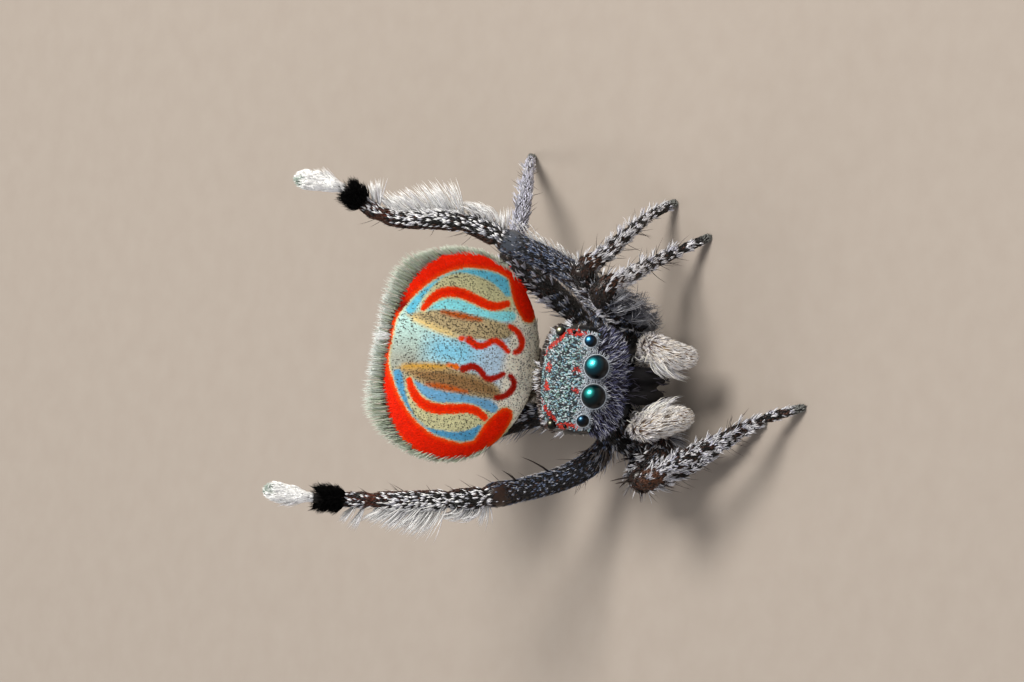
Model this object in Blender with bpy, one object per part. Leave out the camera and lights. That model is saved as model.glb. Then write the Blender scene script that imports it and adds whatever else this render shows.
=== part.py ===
"""Male peacock spider in display, life size: fan raised, third legs held up, six feet on the floor.

The script works in millimetres and turns every finished mesh to metres at the end.
+Z is up, the spider faces -Y and +X is its own left side.
"""

import math
import random
from collections import namedtuple

import bmesh
import bpy
from mathutils import Matrix, Vector

MM = 0.001
GAP = 0.1
EYE_GAP = 0.03
WELD = 0.0003
COAT_SEED = 27

# The stance was laid out round the eyes; this moves the middle of its box to the origin.
STANCE_SHIFT = Vector((-0.42, -0.945, 0.0))

# Head and thorax: a frame at the middle of the front eyes, pitched nose up.
EYE_HEIGHT = 1.85
HEAD_PITCH = math.radians(15)
CARAPACE_WIDTH = 1.69
CARAPACE_STATIONS = (
    # back from the eyes, half width as a share of the widest, top, bottom margin
    (-0.05, 0.54, 0.02, -0.40),
    (-0.01, 0.78, 0.10, -0.48),
    (0.05, 0.89, 0.155, -0.53),
    (0.12, 0.93, 0.20, -0.55),
    (0.22, 0.95, 0.275, -0.56),
    (0.45, 0.97, 0.37, -0.58),
    (0.75, 0.99, 0.40, -0.60),
    (1.05, 1.00, 0.36, -0.62),
    (1.35, 0.97, 0.24, -0.62),
    (1.60, 0.87, 0.06, -0.60),
    (1.80, 0.66, -0.14, -0.56),
    (1.92, 0.35, -0.30, -0.50),
)
CARAPACE_BOXINESS = 2.6
CARAPACE_SIDES = 20
STERNUM_CENTRE = (0.0, 1.08, -0.72)
STERNUM_HALF = (0.40, 0.75, 0.25)

# Eyes: place across, back and up in the head frame, radius, and how many segments round.
EYES = {
    "eye_front_middle": ((0.2175, -0.049, 0.025), 0.18, 14),
    "eye_front_side": ((0.588, 0.052, 0.11), 0.097, 10),
    "eye_rear_middle": ((0.70, 0.42, 0.205), 0.035, 6),
    "eye_rear_side": ((0.735, 0.72, 0.25), 0.08, 8),
}

# Fan: a plate in its own frame, across, up along the abdomen, and out of its face.
FAN_ROOT = Vector((0.0, 2.04, 1.18))
FAN_LEAN_BACK = math.radians(25)
FAN_LEAN_LEFT = math.radians(6)
FAN_CENTRE = (0.05, 1.22)
FAN_HALF_WIDTH = 1.58
# The half towards the tip is squarer, the half towards the waist is round and a little longer.
FAN_TIP_LENGTH, FAN_TIP_SQUARENESS = 1.12, 2.3
FAN_WAIST_LENGTH, FAN_WAIST_SQUARENESS = 1.18, 2.0
FAN_THICKNESS = 0.42
FAN_DOME = 0.08
FAN_SEGMENTS = 32
FAN_RINGS = 8

# Belly behind the fan: up, out, half width and half depth from the waist to the spinnerets.
BELLY_STATIONS = (
    (-0.28, -0.14, 0.16, 0.15),
    (-0.16, -0.45, 0.34, 0.20),
    (0.10, -0.78, 0.52, 0.36),
    (0.50, -0.88, 0.68, 0.44),
    (0.95, -0.95, 0.76, 0.48),
    (1.38, -0.93, 0.70, 0.45),
    (1.72, -0.86, 0.54, 0.36),
    (1.95, -0.80, 0.32, 0.24),
)
BELLY_SIDES = 16
# Waist: how far back and up in the head frame it starts, and its radius.
WAIST_START = (1.92 + GAP, -0.42)
PEDICEL_RADIUS = 0.14
SPINNERET_LENGTH, SPINNERET_RISE = 0.22, 0.05
SPINNERET_RADII = (0.2, 0.1)
STUB_SIDES = 10

# Chelicerae: across, back, up in the head frame, half width, half depth.
CHELICERA_STATIONS = (
    (0.17, 0.10, -0.70, 0.14, 0.16),
    (0.17, 0.06, -0.88, 0.145, 0.17),
    (0.165, 0.05, -1.06, 0.13, 0.14),
    (0.15, 0.08, -1.20, 0.09, 0.09),
)
CHELICERA_SIDES = 10

# Palps: joints from the mouth to the bulb's tip, with a radius at each joint.
PALP_JOINTS = {
    "palp_left": ((0.36, 0.20, 0.86), (0.50, -0.14, 0.93), (0.60, -0.42, 1.16),
                  (0.53, -0.58, 1.08), (0.48, -0.88, 0.66)),
    "palp_right": ((-0.36, 0.20, 0.86), (-0.50, -0.14, 0.93), (-0.62, -0.42, 1.18),
                   (-0.54, -0.58, 1.10), (-0.34, -0.95, 0.65)),
}
PALP_RADII = (0.13, 0.14, 0.15, 0.19, 0.12)
PALP_NODES = {"arm": (0, 3), "bulb": (3, 4)}

# How high the middle of a standing foot is before the floor cuts it flat.
FOOT = 0.04
# Legs: joints from hip to foot, round the eyes' floor point, with a bend inside some femurs.
LEG_JOINTS = {
    "leg_1_left": ((0.52, 0.35, 0.93), (0.88, 0.22, 0.95), (1.12, 0.16, 1.36), (1.36, -0.03, 1.90),
                   (1.53, -0.10, 1.62), (1.85, 0.08, 0.80), (2.07, 0.00, 0.38), (2.29, -0.20, FOOT)),
    "leg_1_right": ((-0.52, 0.35, 0.93), (-0.68, 0.08, 0.87), (-0.86, -0.42, 0.80), (-1.39, -0.65, 1.30),
                    (-1.18, -0.96, 1.20), (-0.61, -1.76, 0.80), (-0.31, -2.11, 0.42), (-0.08, -2.52, FOOT)),
    "leg_2_left": ((0.52, 0.69, 0.84), (0.90, 0.66, 0.84), (1.24, 0.64, 1.25), (1.63, 0.62, 1.73),
                   (1.82, 0.50, 1.53), (2.26, 0.48, 1.00), (2.54, 0.61, 0.50), (2.77, 0.60, FOOT)),
    "leg_2_right": ((-0.52, 0.69, 0.84), (-0.80, 0.60, 0.72), (-0.98, 0.28, 0.55), (-1.38, -0.10, 0.78),
                    (-1.25, -0.40, 0.48), (-0.75, -1.18, 0.30), (-0.54, -1.47, 0.19), (-0.33, -1.75, FOOT)),
    "leg_3_left": ((0.52, 1.03, 0.75), (0.92, 1.10, 0.78), (1.48, 1.30, 1.17), (1.97, 1.80, 2.30),
                   (2.15, 2.08, 2.82), (2.15, 2.66, 4.00), (2.47, 2.92, 4.57), (2.56, 3.27, 5.33)),
    "leg_3_right": ((-0.52, 1.03, 0.75), (-0.88, 1.00, 0.58), (-1.19, 1.16, 0.64), (-1.86, 1.80, 2.08),
                    (-1.96, 2.00, 2.68), (-2.07, 2.50, 3.77), (-2.11, 2.90, 4.62), (-2.05, 3.24, 5.33)),
    "leg_4_left": ((0.52, 1.36, 0.66), (0.85, 1.65, 0.66), (1.31, 2.12, 1.04), (1.77, 2.60, 1.42),
                   (2.08, 2.70, 1.24), (2.73, 2.95, 0.92), (3.07, 3.40, 0.50), (3.33, 3.87, FOOT)),
    "leg_4_right": ((-0.52, 1.36, 0.66), (-0.62, 1.75, 0.68), (-0.60, 2.35, 0.75), (-1.00, 3.00, 1.50),
                    (-1.02, 3.25, 1.38), (-1.10, 3.80, 0.80), (-1.10, 4.10, 0.42), (-1.10, 4.35, FOOT)),
}
LEG_RADII = (0.13, 0.17, 0.22, 0.19, 0.20, 0.17, 0.15, 0.10)
RAISED_LEG_RADII = (0.13, 0.17, 0.22, 0.18, 0.18, 0.15, 0.14, 0.07)
LEG_SIDES = 8
# A node runs between two joints, counted from the hip.
LEG_NODES = {"femur": (0, 3), "tibia": (3, 5), "tarsus": (5, 7)}
RINGS_PER_SPAN = {"femur": 3, "tibia": 3, "tarsus": 2, "arm": 3, "bulb": 4, "stub": 2}

# Rows of hair locks on a node: its joints start and end each row, counted from the hip.
Brush = namedtuple("Brush", "node start end rows per_row spread aim lie length width")
DOWN, OUTER, UPPER = "down", "outer", "upper"
LEG_BRUSHES = {
    1: (Brush("femur", 1.7, 2.8, 5, 1, 0, DOWN, 0.3, 0.42, 0.20),
        Brush("tibia", 3.5, 4.6, 6, 1, 60, DOWN, 0.8, 0.30, 0.18),
        Brush("tarsus", 5.2, 6.2, 3, 1, 0, UPPER, 1.2, 0.26, 0.16)),
    2: (Brush("femur", 1.7, 2.7, 4, 1, 0, DOWN, 0.4, 0.32, 0.20),
        Brush("tibia", 3.5, 4.6, 5, 1, 60, DOWN, 0.8, 0.28, 0.18),
        Brush("tarsus", 5.2, 6.2, 3, 1, 0, UPPER, 1.2, 0.26, 0.16)),
    3: (Brush("femur", 1.6, 2.7, 5, 1, 0, OUTER, 0.7, 0.36, 0.18),
        Brush("tibia", 3.2, 4.6, 12, 1, 44, OUTER, 0.75, 0.56, 0.20),
        Brush("tarsus", 5.15, 5.35, 2, 1, 0, OUTER, 0.8, 0.42, 0.18),
        Brush("tarsus", 5.50, 5.75, 2, 4, 360, UPPER, 2.0, 0.46, 0.26),
        Brush("tarsus", 6.15, 6.60, 2, 4, 360, UPPER, 2.6, 0.40, 0.18)),
    4: (Brush("femur", 1.8, 2.7, 4, 1, 0, DOWN, 0.4, 0.32, 0.20),
        Brush("tibia", 3.5, 4.6, 5, 1, 60, UPPER, 0.8, 0.28, 0.18),
        Brush("tarsus", 5.2, 6.2, 3, 1, 0, UPPER, 1.2, 0.26, 0.16)),
}
PALP_BRUSHES = (
    Brush("arm", 1.2, 2.4, 3, 1, 0, DOWN, 0.5, 0.28, 0.18),
    Brush("bulb", 3.12, 3.70, 3, 4, 360, UPPER, 2.2, 0.42, 0.26),
)
LOCK_THICKNESS = 0.45
# Cross sections of a lock: how far along it, and how wide as a share of its full width.
LOCK_SECTIONS = ((0.0, 0.8), (0.4, 1.0), (0.75, 0.65))
LOCK_TURN_JITTER = 6.0
LOCK_LENGTH_JITTER = 0.12
LOCK_SWAY = 0.15
# A lock or a spine starts inside its limb, at this share of the limb's radius.
LOCK_ROOT, SPINE_ROOT = 0.35, 0.3
# Spines on the femurs: place from the hip, degrees round from the upper side.
FEMUR_SPINES = ((2.0, -20), (2.5, 15))
SPINE_LENGTH = 0.48
SPINE_RADIUS = 0.055
SPINE_SIDES = 5

# Fringe of the fan: degrees from its left edge, and how far the hairs reach past the rim.
FRINGE_COUNT = 27
FRINGE_START, FRINGE_END = -38.0, 218.0
FRINGE_SIDE, FRINGE_CORNER, FRINGE_TOP = 0.12, 0.36, 0.22
FRINGE_WIDTH = 0.34
FRINGE_SWING = 7.0
FRINGE_SWAY = (-0.03, 0.05)
FRINGE_LENGTHS = (0.92, 1.10)
FRINGE_SINK = 0.24


def world(point):
    """Move a point of the layout round the eyes to the part's own frame."""
    return Vector(point) + STANCE_SHIFT


def head_point(across, back, up):
    """A point of the head frame, which is pitched nose up about the front eyes."""
    y = back * math.cos(HEAD_PITCH) + up * math.sin(HEAD_PITCH)
    z = EYE_HEIGHT - back * math.sin(HEAD_PITCH) + up * math.cos(HEAD_PITCH)
    return world((across, y, z))


FAN_UP = Vector((math.sin(FAN_LEAN_LEFT),
                 math.cos(FAN_LEAN_LEFT) * math.sin(FAN_LEAN_BACK),
                 math.cos(FAN_LEAN_LEFT) * math.cos(FAN_LEAN_BACK)))
FAN_OUT = Vector((0.0, -math.cos(FAN_LEAN_BACK), math.sin(FAN_LEAN_BACK)))
FAN_SIDE = FAN_OUT.cross(FAN_UP).normalized()


def fan_point(across, up, out):
    """A point of the fan's frame: across its face, up along the abdomen, out of its face."""
    return world(FAN_ROOT + across * FAN_SIDE + up * FAN_UP + out * FAN_OUT)


def angles_round(sides):
    """Even angles round a full turn."""
    return [2 * math.pi * s / sides for s in range(sides)]


def clear_scene():
    """Remove whatever the file starts with."""
    for old in list(bpy.data.objects):
        bpy.data.objects.remove(old, do_unlink=True)


def object_from_bmesh(name, bm):
    """Turn a bmesh into an object, with its faces pointing outwards."""
    bmesh.ops.recalc_face_normals(bm, faces=bm.faces)
    mesh = bpy.data.meshes.new(name)
    bm.to_mesh(mesh)
    bm.free()
    obj = bpy.data.objects.new(name, mesh)
    bpy.context.scene.collection.objects.link(obj)
    return obj


def loft(name, rings):
    """A closed tube through rings of points; a ring of one point closes that end."""
    bm = bmesh.new()
    rows = [[bm.verts.new(point) for point in ring] for ring in rings]
    for low, high in zip(rows, rows[1:]):
        count = max(len(low), len(high))
        for k in range(count):
            nxt = (k + 1) % count
            if len(high) == 1:
                bm.faces.new((low[k], low[nxt], high[0]))
            elif len(low) == 1:
                bm.faces.new((low[0], high[nxt], high[k]))
            else:
                bm.faces.new((low[k], low[nxt], high[nxt], high[k]))
    for row in (rows[0], rows[-1]):
        if len(row) > 1:
            bm.faces.new(row)
    bmesh.ops.triangulate(bm, faces=bm.faces)
    return object_from_bmesh(name, bm)


def ellipsoid(name, centre, half, axes, segments, rings):
    """A UV sphere stretched to three half sizes along three axes."""
    bm = bmesh.new()
    bmesh.ops.create_uvsphere(bm, u_segments=segments, v_segments=rings, radius=1.0)
    for vert in bm.verts:
        vert.co = centre + sum((axes[i] * vert.co[i] * half[i] for i in range(3)), Vector())
    bmesh.ops.triangulate(bm, faces=bm.faces)
    return object_from_bmesh(name, bm)


def superellipse(angle, power):
    """Unit point on a rounded box outline."""
    c, s = math.cos(angle), math.sin(angle)
    return (math.copysign(abs(c) ** (2 / power), c), math.copysign(abs(s) ** (2 / power), s))


def boolean(target, tools, operation, solver):
    """Join closed tools to the target, or cut them from it, then remove them."""
    if not tools:
        return
    group = bpy.data.collections.new(target.name + "_tools")
    bpy.context.scene.collection.children.link(group)
    for tool in tools:
        for owner in list(tool.users_collection):
            owner.objects.unlink(tool)
        group.objects.link(tool)
    modifier = target.modifiers.new(operation.lower(), "BOOLEAN")
    modifier.operation = operation
    modifier.operand_type = "COLLECTION"
    modifier.collection = group
    modifier.solver = solver
    graph = bpy.context.evaluated_depsgraph_get()
    mesh = bpy.data.meshes.new_from_object(target.evaluated_get(graph))
    target.modifiers.clear()
    target.data = mesh
    for tool in tools:
        bpy.data.objects.remove(tool, do_unlink=True)
    bpy.data.collections.remove(group)


def surface_of(shell):
    """The area of all faces that touch a set of vertices."""
    return sum(face.calc_area() for face in {face for vert in shell for face in vert.link_faces})


def keep_largest(obj):
    """Keep only the largest closed surface, as triangles, with no slivers."""
    bm = bmesh.new()
    bm.from_mesh(obj.data)
    bmesh.ops.remove_doubles(bm, verts=bm.verts, dist=WELD)
    bmesh.ops.dissolve_degenerate(bm, edges=bm.edges, dist=WELD)
    left = set(bm.verts)
    shells = []
    while left:
        stack = [left.pop()]
        shell = set(stack)
        while stack:
            for edge in stack.pop().link_edges:
                for vert in edge.verts:
                    if vert in left:
                        left.remove(vert)
                        shell.add(vert)
                        stack.append(vert)
        shells.append(shell)
    largest = max(shells, key=surface_of)
    bmesh.ops.delete(bm, geom=[v for v in bm.verts if v not in largest], context="VERTS")
    bmesh.ops.triangulate(bm, faces=bm.faces)
    bm.to_mesh(obj.data)
    bm.free()


def cut_at_floor(obj):
    """Cut off what reaches below the floor, which leaves a small flat under a foot."""
    bm = bmesh.new()
    bm.from_mesh(obj.data)
    cut = bmesh.ops.bisect_plane(bm, geom=bm.verts[:] + bm.edges[:] + bm.faces[:], dist=1e-5,
                                 plane_co=(0, 0, 0), plane_no=(0, 0, 1), clear_inner=True)
    rim = [item for item in cut["geom_cut"] if isinstance(item, bmesh.types.BMEdge)]
    if rim:
        bmesh.ops.holes_fill(bm, edges=rim)
    bmesh.ops.triangulate(bm, faces=bm.faces)
    bm.to_mesh(obj.data)
    bm.free()


def lock(root, aim, flat, length, width, sway):
    """A flat lock of hair that tapers to a point; sway bends its tip."""
    face = aim.cross(flat).normalized()
    rings = []
    for share, wide in LOCK_SECTIONS:
        centre = root + aim * length * share + sway * share ** 2
        across, deep = flat * width / 2 * wide, face * width / 2 * wide * LOCK_THICKNESS
        rings.append([centre + across, centre + deep, centre - across, centre - deep])
    rings.append([root + aim * length + sway])
    return loft("lock", rings)


def spine(root, aim, length, radius):
    """A tapered bristle of five sides."""
    flat = aim.orthogonal().normalized()
    other = aim.cross(flat)
    rings = []
    for share, wide in ((0.0, 1.0), (0.6, 0.6)):
        rings.append([root + aim * length * share
                      + radius * wide * (flat * math.cos(a) + other * math.sin(a))
                      for a in angles_round(SPINE_SIDES)])
    rings.append([root + aim * length])
    return loft("spine", rings)


class Limb:
    """A smooth path through joints, with a radius at each joint."""

    def __init__(self, joints, radii):
        self.joints = [world(joint) for joint in joints]
        self.radii = radii
        last = len(self.joints) - 1
        steps = [(b - a).normalized() for a, b in zip(self.joints, self.joints[1:])]
        self.headings = [(steps[max(k - 1, 0)] + steps[min(k, last - 1)]).normalized()
                         for k in range(last + 1)]

    def span(self, t):
        """The joint before t and the share of the way to the next one."""
        k = min(int(t), len(self.joints) - 2)
        return k, t - k

    def point(self, t):
        """The middle of the limb at t, on a smooth curve through the joints."""
        k, f = self.span(t)
        a, b = self.joints[k], self.joints[k + 1]
        pull = (b - a).length
        return (a * (2 * f**3 - 3 * f**2 + 1) + b * (3 * f**2 - 2 * f**3)
                + self.headings[k] * pull * (f**3 - 2 * f**2 + f)
                + self.headings[k + 1] * pull * (f**3 - f**2))

    def heading(self, t):
        """The direction of the limb at t, towards its tip."""
        step = 0.01
        high = min(t + step, len(self.joints) - 1)
        return (self.point(high) - self.point(max(high - 2 * step, 0))).normalized()

    def radius(self, t):
        """The radius at t, between the radii of the joints."""
        k, f = self.span(t)
        return self.radii[k] * (1 - f) + self.radii[k + 1] * f

    def trim(self, t, distance):
        """The place a distance further along, for a gap at a joint."""
        k, f = self.span(t)
        return t + distance / (self.joints[k + 1] - self.joints[k]).length

    def outward(self, t, aim):
        """The direction square to the limb at t that comes closest to aim."""
        heading = self.heading(t)
        return (aim - heading * aim.dot(heading)).normalized()

    def locks(self, brush, aim, rng):
        """Rows of locks that stand out round the aim and lie towards the limb's tip."""
        made = []
        for row in range(brush.rows):
            t = brush.start + (brush.end - brush.start) * row / max(brush.rows - 1, 1)
            heading = self.heading(t)
            out = self.outward(t, aim)
            for k in range(brush.per_row):
                turn = brush.spread * ((k + 0.5) / brush.per_row - 0.5)
                turn += (row % 2 - 0.5) * brush.spread / brush.per_row / 2
                turn += rng.uniform(-LOCK_TURN_JITTER, LOCK_TURN_JITTER)
                side = Matrix.Rotation(math.radians(turn), 3, heading) @ out
                root = self.point(t) + side * self.radius(t) * LOCK_ROOT
                lean = (side + heading * brush.lie).normalized()
                length = brush.length * rng.uniform(1 - LOCK_LENGTH_JITTER, 1 + LOCK_LENGTH_JITTER)
                made.append(lock(root, lean, heading.cross(side).normalized(), length,
                                 brush.width, heading * length * LOCK_SWAY))
        return made

    def spines(self, aim, rng):
        """The bristles of a femur, on the side that looks towards the aim."""
        made = []
        for t, turn in FEMUR_SPINES:
            heading = self.heading(t)
            side = Matrix.Rotation(math.radians(turn), 3, heading) @ self.outward(t, aim)
            lean = (side + heading * rng.uniform(0.4, 0.7)).normalized()
            made.append(spine(self.point(t) + side * self.radius(t) * SPINE_ROOT, lean,
                              SPINE_LENGTH, SPINE_RADIUS))
        return made

    def solid(self, name, kind, start, end, sides):
        """The closed tube from one joint to another, half a gap short at each inner end."""
        first = self.trim(start, GAP / 2) if start else 0.0
        last = end - GAP / 2 / (self.joints[end] - self.joints[end - 1]).length
        if end == len(self.joints) - 1:
            last = end
        count = RINGS_PER_SPAN[kind] * (end - start)
        rings = []
        normal = self.outward(first, Vector((0.3, 0.2, 1.0)))
        for k in range(count + 1):
            t = first + (last - first) * k / count
            heading = self.heading(start if k == 0 else end if k == count else t)
            normal = (normal - heading * normal.dot(heading)).normalized()
            other = heading.cross(normal)
            centre, radius = self.point(t), self.radius(t)
            rings.append([centre + radius * (normal * math.cos(a) + other * math.sin(a))
                          for a in angles_round(sides)])
        return loft(name, rings)


def build_carapace():
    """Head and thorax in one shell with the breastplate below, and a socket for every eye."""
    rings = []
    for back, share, top, bottom in CARAPACE_STATIONS:
        middle, half = (top + bottom) / 2, (top - bottom) / 2
        width = share * CARAPACE_WIDTH / 2
        ring = []
        for s in range(CARAPACE_SIDES):
            x, z = superellipse(2 * math.pi * (s + 0.5) / CARAPACE_SIDES, CARAPACE_BOXINESS)
            ring.append(head_point(width * x, back, middle + half * z))
        rings.append(ring)
    body = loft("cephalothorax", rings)
    axes = (Vector((1, 0, 0)), Matrix.Rotation(-HEAD_PITCH, 3, "X") @ Vector((0, 1, 0)),
            Matrix.Rotation(-HEAD_PITCH, 3, "X") @ Vector((0, 0, 1)))
    sternum = ellipsoid("sternum", head_point(*STERNUM_CENTRE), STERNUM_HALF, axes, 14, 8)
    boolean(body, [sternum], "UNION", "MANIFOLD")
    sockets = [ellipsoid("socket", place, (radius + EYE_GAP,) * 3, axes, segments, segments // 2)
               for _, place, radius, segments, axes in each_eye()]
    boolean(body, sockets, "DIFFERENCE", "EXACT")
    return body


def each_eye():
    """Name, place, radius, segments and axes of every eye."""
    axes = (Vector((1, 0, 0)), Vector((0, 0, 1)), Vector((0, -1, 0)))
    for name, ((across, back, up), radius, segments) in EYES.items():
        for side, sign in (("left", 1), ("right", -1)):
            yield name + "_" + side, head_point(sign * across, back, up), radius, segments, axes


def fan_rim(angle):
    """From the middle of the fan to its rim, in the fan's own frame."""
    tip_half = math.sin(angle) > 0
    x, y = superellipse(angle, FAN_TIP_SQUARENESS if tip_half else FAN_WAIST_SQUARENESS)
    return Vector((FAN_HALF_WIDTH * x, (FAN_TIP_LENGTH if tip_half else FAN_WAIST_LENGTH) * y))


def build_fan():
    """The spread plate: a sphere flattened to a shallow dome with a rounded box outline."""
    bm = bmesh.new()
    bmesh.ops.create_uvsphere(bm, u_segments=FAN_SEGMENTS, v_segments=FAN_RINGS, radius=1.0)
    for vert in bm.verts:
        spread = math.sqrt(max(0.0, 1 - vert.co.z ** 2))
        rim = fan_rim(math.atan2(vert.co.y, vert.co.x)) * spread
        middle = FAN_DOME * (1 - spread ** 2) - FAN_THICKNESS / 2
        vert.co = fan_point(FAN_CENTRE[0] + rim.x, FAN_CENTRE[1] + rim.y,
                            middle + vert.co.z * FAN_THICKNESS / 2)
    bmesh.ops.triangulate(bm, faces=bm.faces)
    plate = object_from_bmesh("fan", bm)
    boolean(plate, build_fringe(random.Random(COAT_SEED)), "UNION", "MANIFOLD")
    return plate


def rim_point(angle, past):
    """A point past the fan's rim, in the fan's own frame."""
    rim = fan_rim(angle)
    return Vector(FAN_CENTRE) + rim * (1 + past / rim.length)


def fringe_reach(angle):
    """Hairs are longest at the two upper corners and short down the sides."""
    corner = math.exp(-((abs(math.degrees(angle) - 90) - 38) / 22) ** 2)
    top = math.exp(-((math.degrees(angle) - 90) / 30) ** 2)
    return (FRINGE_SIDE + (FRINGE_CORNER - FRINGE_SIDE) * corner
            + (FRINGE_TOP - FRINGE_SIDE) * top * (1 - corner))


def build_fringe(rng):
    """Locks that stand out all round the rim, except where the fan meets the head."""
    made = []
    for k in range(FRINGE_COUNT):
        angle = math.radians(FRINGE_START + (FRINGE_END - FRINGE_START) * k / (FRINGE_COUNT - 1))
        share = fringe_reach(angle) / FRINGE_CORNER
        swing = math.radians(rng.uniform(-FRINGE_SWING, FRINGE_SWING) * share)
        inner, outer = rim_point(angle, -FRINGE_SINK), rim_point(angle + swing, fringe_reach(angle))
        depth = -FAN_THICKNESS / 2
        root, tip = fan_point(inner.x, inner.y, depth), fan_point(outer.x, outer.y, depth)
        aim = (tip - root).normalized()
        sway = FAN_OUT * rng.uniform(*FRINGE_SWAY)
        length = (tip - root).length * rng.uniform(*FRINGE_LENGTHS)
        made.append(lock(root, aim, FAN_OUT.cross(aim), length, FRINGE_WIDTH, sway))
    return made


def build_belly():
    """The sac behind the fan, flattened where it lies against the plate."""
    rings = []
    limit = FAN_DOME - FAN_THICKNESS - GAP
    last = len(BELLY_STATIONS) - 1
    for k, (up, out, wide, deep) in enumerate(BELLY_STATIONS):
        before, after = BELLY_STATIONS[max(k - 1, 0)], BELLY_STATIONS[min(k + 1, last)]
        run = Vector((after[0] - before[0], after[1] - before[1])).normalized()
        ring = []
        for angle in angles_round(BELLY_SIDES):
            shift = deep * math.sin(angle)
            place_up, place_out = up - run.y * shift, out + run.x * shift
            if place_up > 0:
                place_out = min(place_out, limit)
            ring.append(fan_point(wide * math.cos(angle), place_up, place_out))
        rings.append(ring)
    return loft("abdomen", rings)


def build_pedicel():
    """The thin waist from the rear of the thorax to the abdomen."""
    start = head_point(0.0, *WAIST_START)
    end = fan_point(0.0, BELLY_STATIONS[0][0], BELLY_STATIONS[0][1])
    heading = (end - start).normalized()
    waist = Limb((start - STANCE_SHIFT, end - heading * GAP - STANCE_SHIFT), (PEDICEL_RADIUS,) * 2)
    return waist.solid("pedicel", "stub", 0, 1, STUB_SIDES)


def build_chelicera(name, sign):
    """One jaw below the face, from its base to its blunt lower end."""
    rings = []
    for across, back, up, wide, deep in CHELICERA_STATIONS:
        rings.append([head_point(sign * across + wide * math.cos(a), back + deep * math.sin(a), up)
                      for a in angles_round(CHELICERA_SIDES)])
    return loft(name, rings)


def aim_vector(aim, sign):
    """World direction of a brush's aim, on the left (1) or right (-1) side."""
    return {DOWN: Vector((0.2 * sign, -0.25, -1)), OUTER: Vector((sign, 0.1, 0.1)),
            UPPER: Vector((0.1 * sign, -0.1, 1))}[aim]


def build_legs():
    """Every leg in three nodes, each joined with its locks and cut flat where it stands."""
    made = []
    rng = random.Random(COAT_SEED + 1)
    for leg, joints in LEG_JOINTS.items():
        number, sign = int(leg[4]), (1 if leg.endswith("left") else -1)
        raised = number == 3
        limb = Limb(joints, RAISED_LEG_RADII if raised else LEG_RADII)
        for piece, (start, end) in LEG_NODES.items():
            solid = limb.solid(leg + "_" + piece, piece, start, end, LEG_SIDES)
            tools = []
            for brush in LEG_BRUSHES[number]:
                if brush.node == piece:
                    tools += limb.locks(brush, aim_vector(brush.aim, sign), rng)
            if piece == "femur":
                upper = Vector((-0.6 * sign, 0.3, 1)) if raised else Vector((0, 0, 1))
                tools += limb.spines(upper, rng)
            boolean(solid, tools, "UNION", "MANIFOLD")
            cut_at_floor(solid)
            made.append(solid)
    return made


def build_palps():
    """Both palps in two nodes each, with their locks."""
    made = []
    rng = random.Random(COAT_SEED + 2)
    for palp, joints in PALP_JOINTS.items():
        sign = 1 if palp.endswith("left") else -1
        limb = Limb(joints, PALP_RADII)
        for piece, (start, end) in PALP_NODES.items():
            solid = limb.solid(palp + "_" + piece, piece, start, end, LEG_SIDES)
            tools = []
            for brush in PALP_BRUSHES:
                if brush.node == piece:
                    tools += limb.locks(brush, aim_vector(brush.aim, sign), rng)
            boolean(solid, tools, "UNION", "MANIFOLD")
            made.append(solid)
    return made


def build_spinnerets():
    """The short cone of spinnerets at the end of the belly."""
    up, out = BELLY_STATIONS[-1][0] + GAP, BELLY_STATIONS[-1][1]
    base = fan_point(0.0, up, out)
    end = fan_point(0.0, up + SPINNERET_LENGTH, out + SPINNERET_RISE)
    stub = Limb((base - STANCE_SHIFT, end - STANCE_SHIFT), SPINNERET_RADII)
    return stub.solid("spinnerets", "stub", 0, 1, STUB_SIDES)


# Colour, roughness and whether smooth, by the start of a node's name.
FINISHES = (
    ("eye", "eye_lens", (0.01, 0.14, 0.13), 0.06, True),
    ("chelicera", "mouthparts", (0.04, 0.035, 0.05), 0.4, True),
    ("palp", "palp_hair", (0.74, 0.64, 0.48), 0.8, False),
    ("fan", "fan_scales", (0.78, 0.10, 0.02), 0.7, False),
    ("leg_3_left_t", "leg_brush", (0.75, 0.75, 0.72), 0.8, False),
    ("leg_3_right_t", "leg_brush", (0.75, 0.75, 0.72), 0.8, False),
    ("leg", "leg_hair", (0.12, 0.11, 0.105), 0.8, False),
    ("cephalothorax", "carapace_cuticle", (0.13, 0.17, 0.18), 0.55, True),
    ("", "belly", (0.16, 0.13, 0.10), 0.8, True),
)


def finish(obj):
    """Give a node its own material, smooth where it has no locks."""
    _, kind, colour, roughness, smooth = next(f for f in FINISHES if obj.name.startswith(f[0]))
    material = bpy.data.materials.new(kind + "_" + obj.name)
    material.use_nodes = True
    shader = material.node_tree.nodes["Principled BSDF"]
    shader.inputs["Base Color"].default_value = (*colour, 1)
    shader.inputs["Roughness"].default_value = roughness
    obj.data.materials.clear()
    obj.data.materials.append(material)
    if smooth:
        obj.data.shade_smooth()


def main():
    """Build every node, turn it to metres and hang it under one stand."""
    clear_scene()
    made = [build_carapace(), build_fan(), build_belly(), build_pedicel(), build_spinnerets()]
    for name, place, radius, segments, axes in each_eye():
        made.append(ellipsoid(name, place, (radius,) * 3, axes, segments, segments // 2 + 2))
    for side, sign in (("left", 1), ("right", -1)):
        made.append(build_chelicera("chelicera_" + side, sign))
    made += build_legs() + build_palps()
    group = bpy.data.collections.new("peacock_spider")
    bpy.context.scene.collection.children.link(group)
    stand = bpy.data.objects.new("peacock_spider", None)
    group.objects.link(stand)
    for obj in made:
        keep_largest(obj)
        obj.data.transform(Matrix.Scale(MM, 4))
        finish(obj)
        for owner in list(obj.users_collection):
            owner.objects.unlink(obj)
        group.objects.link(obj)
        obj.parent = stand


main()
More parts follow.
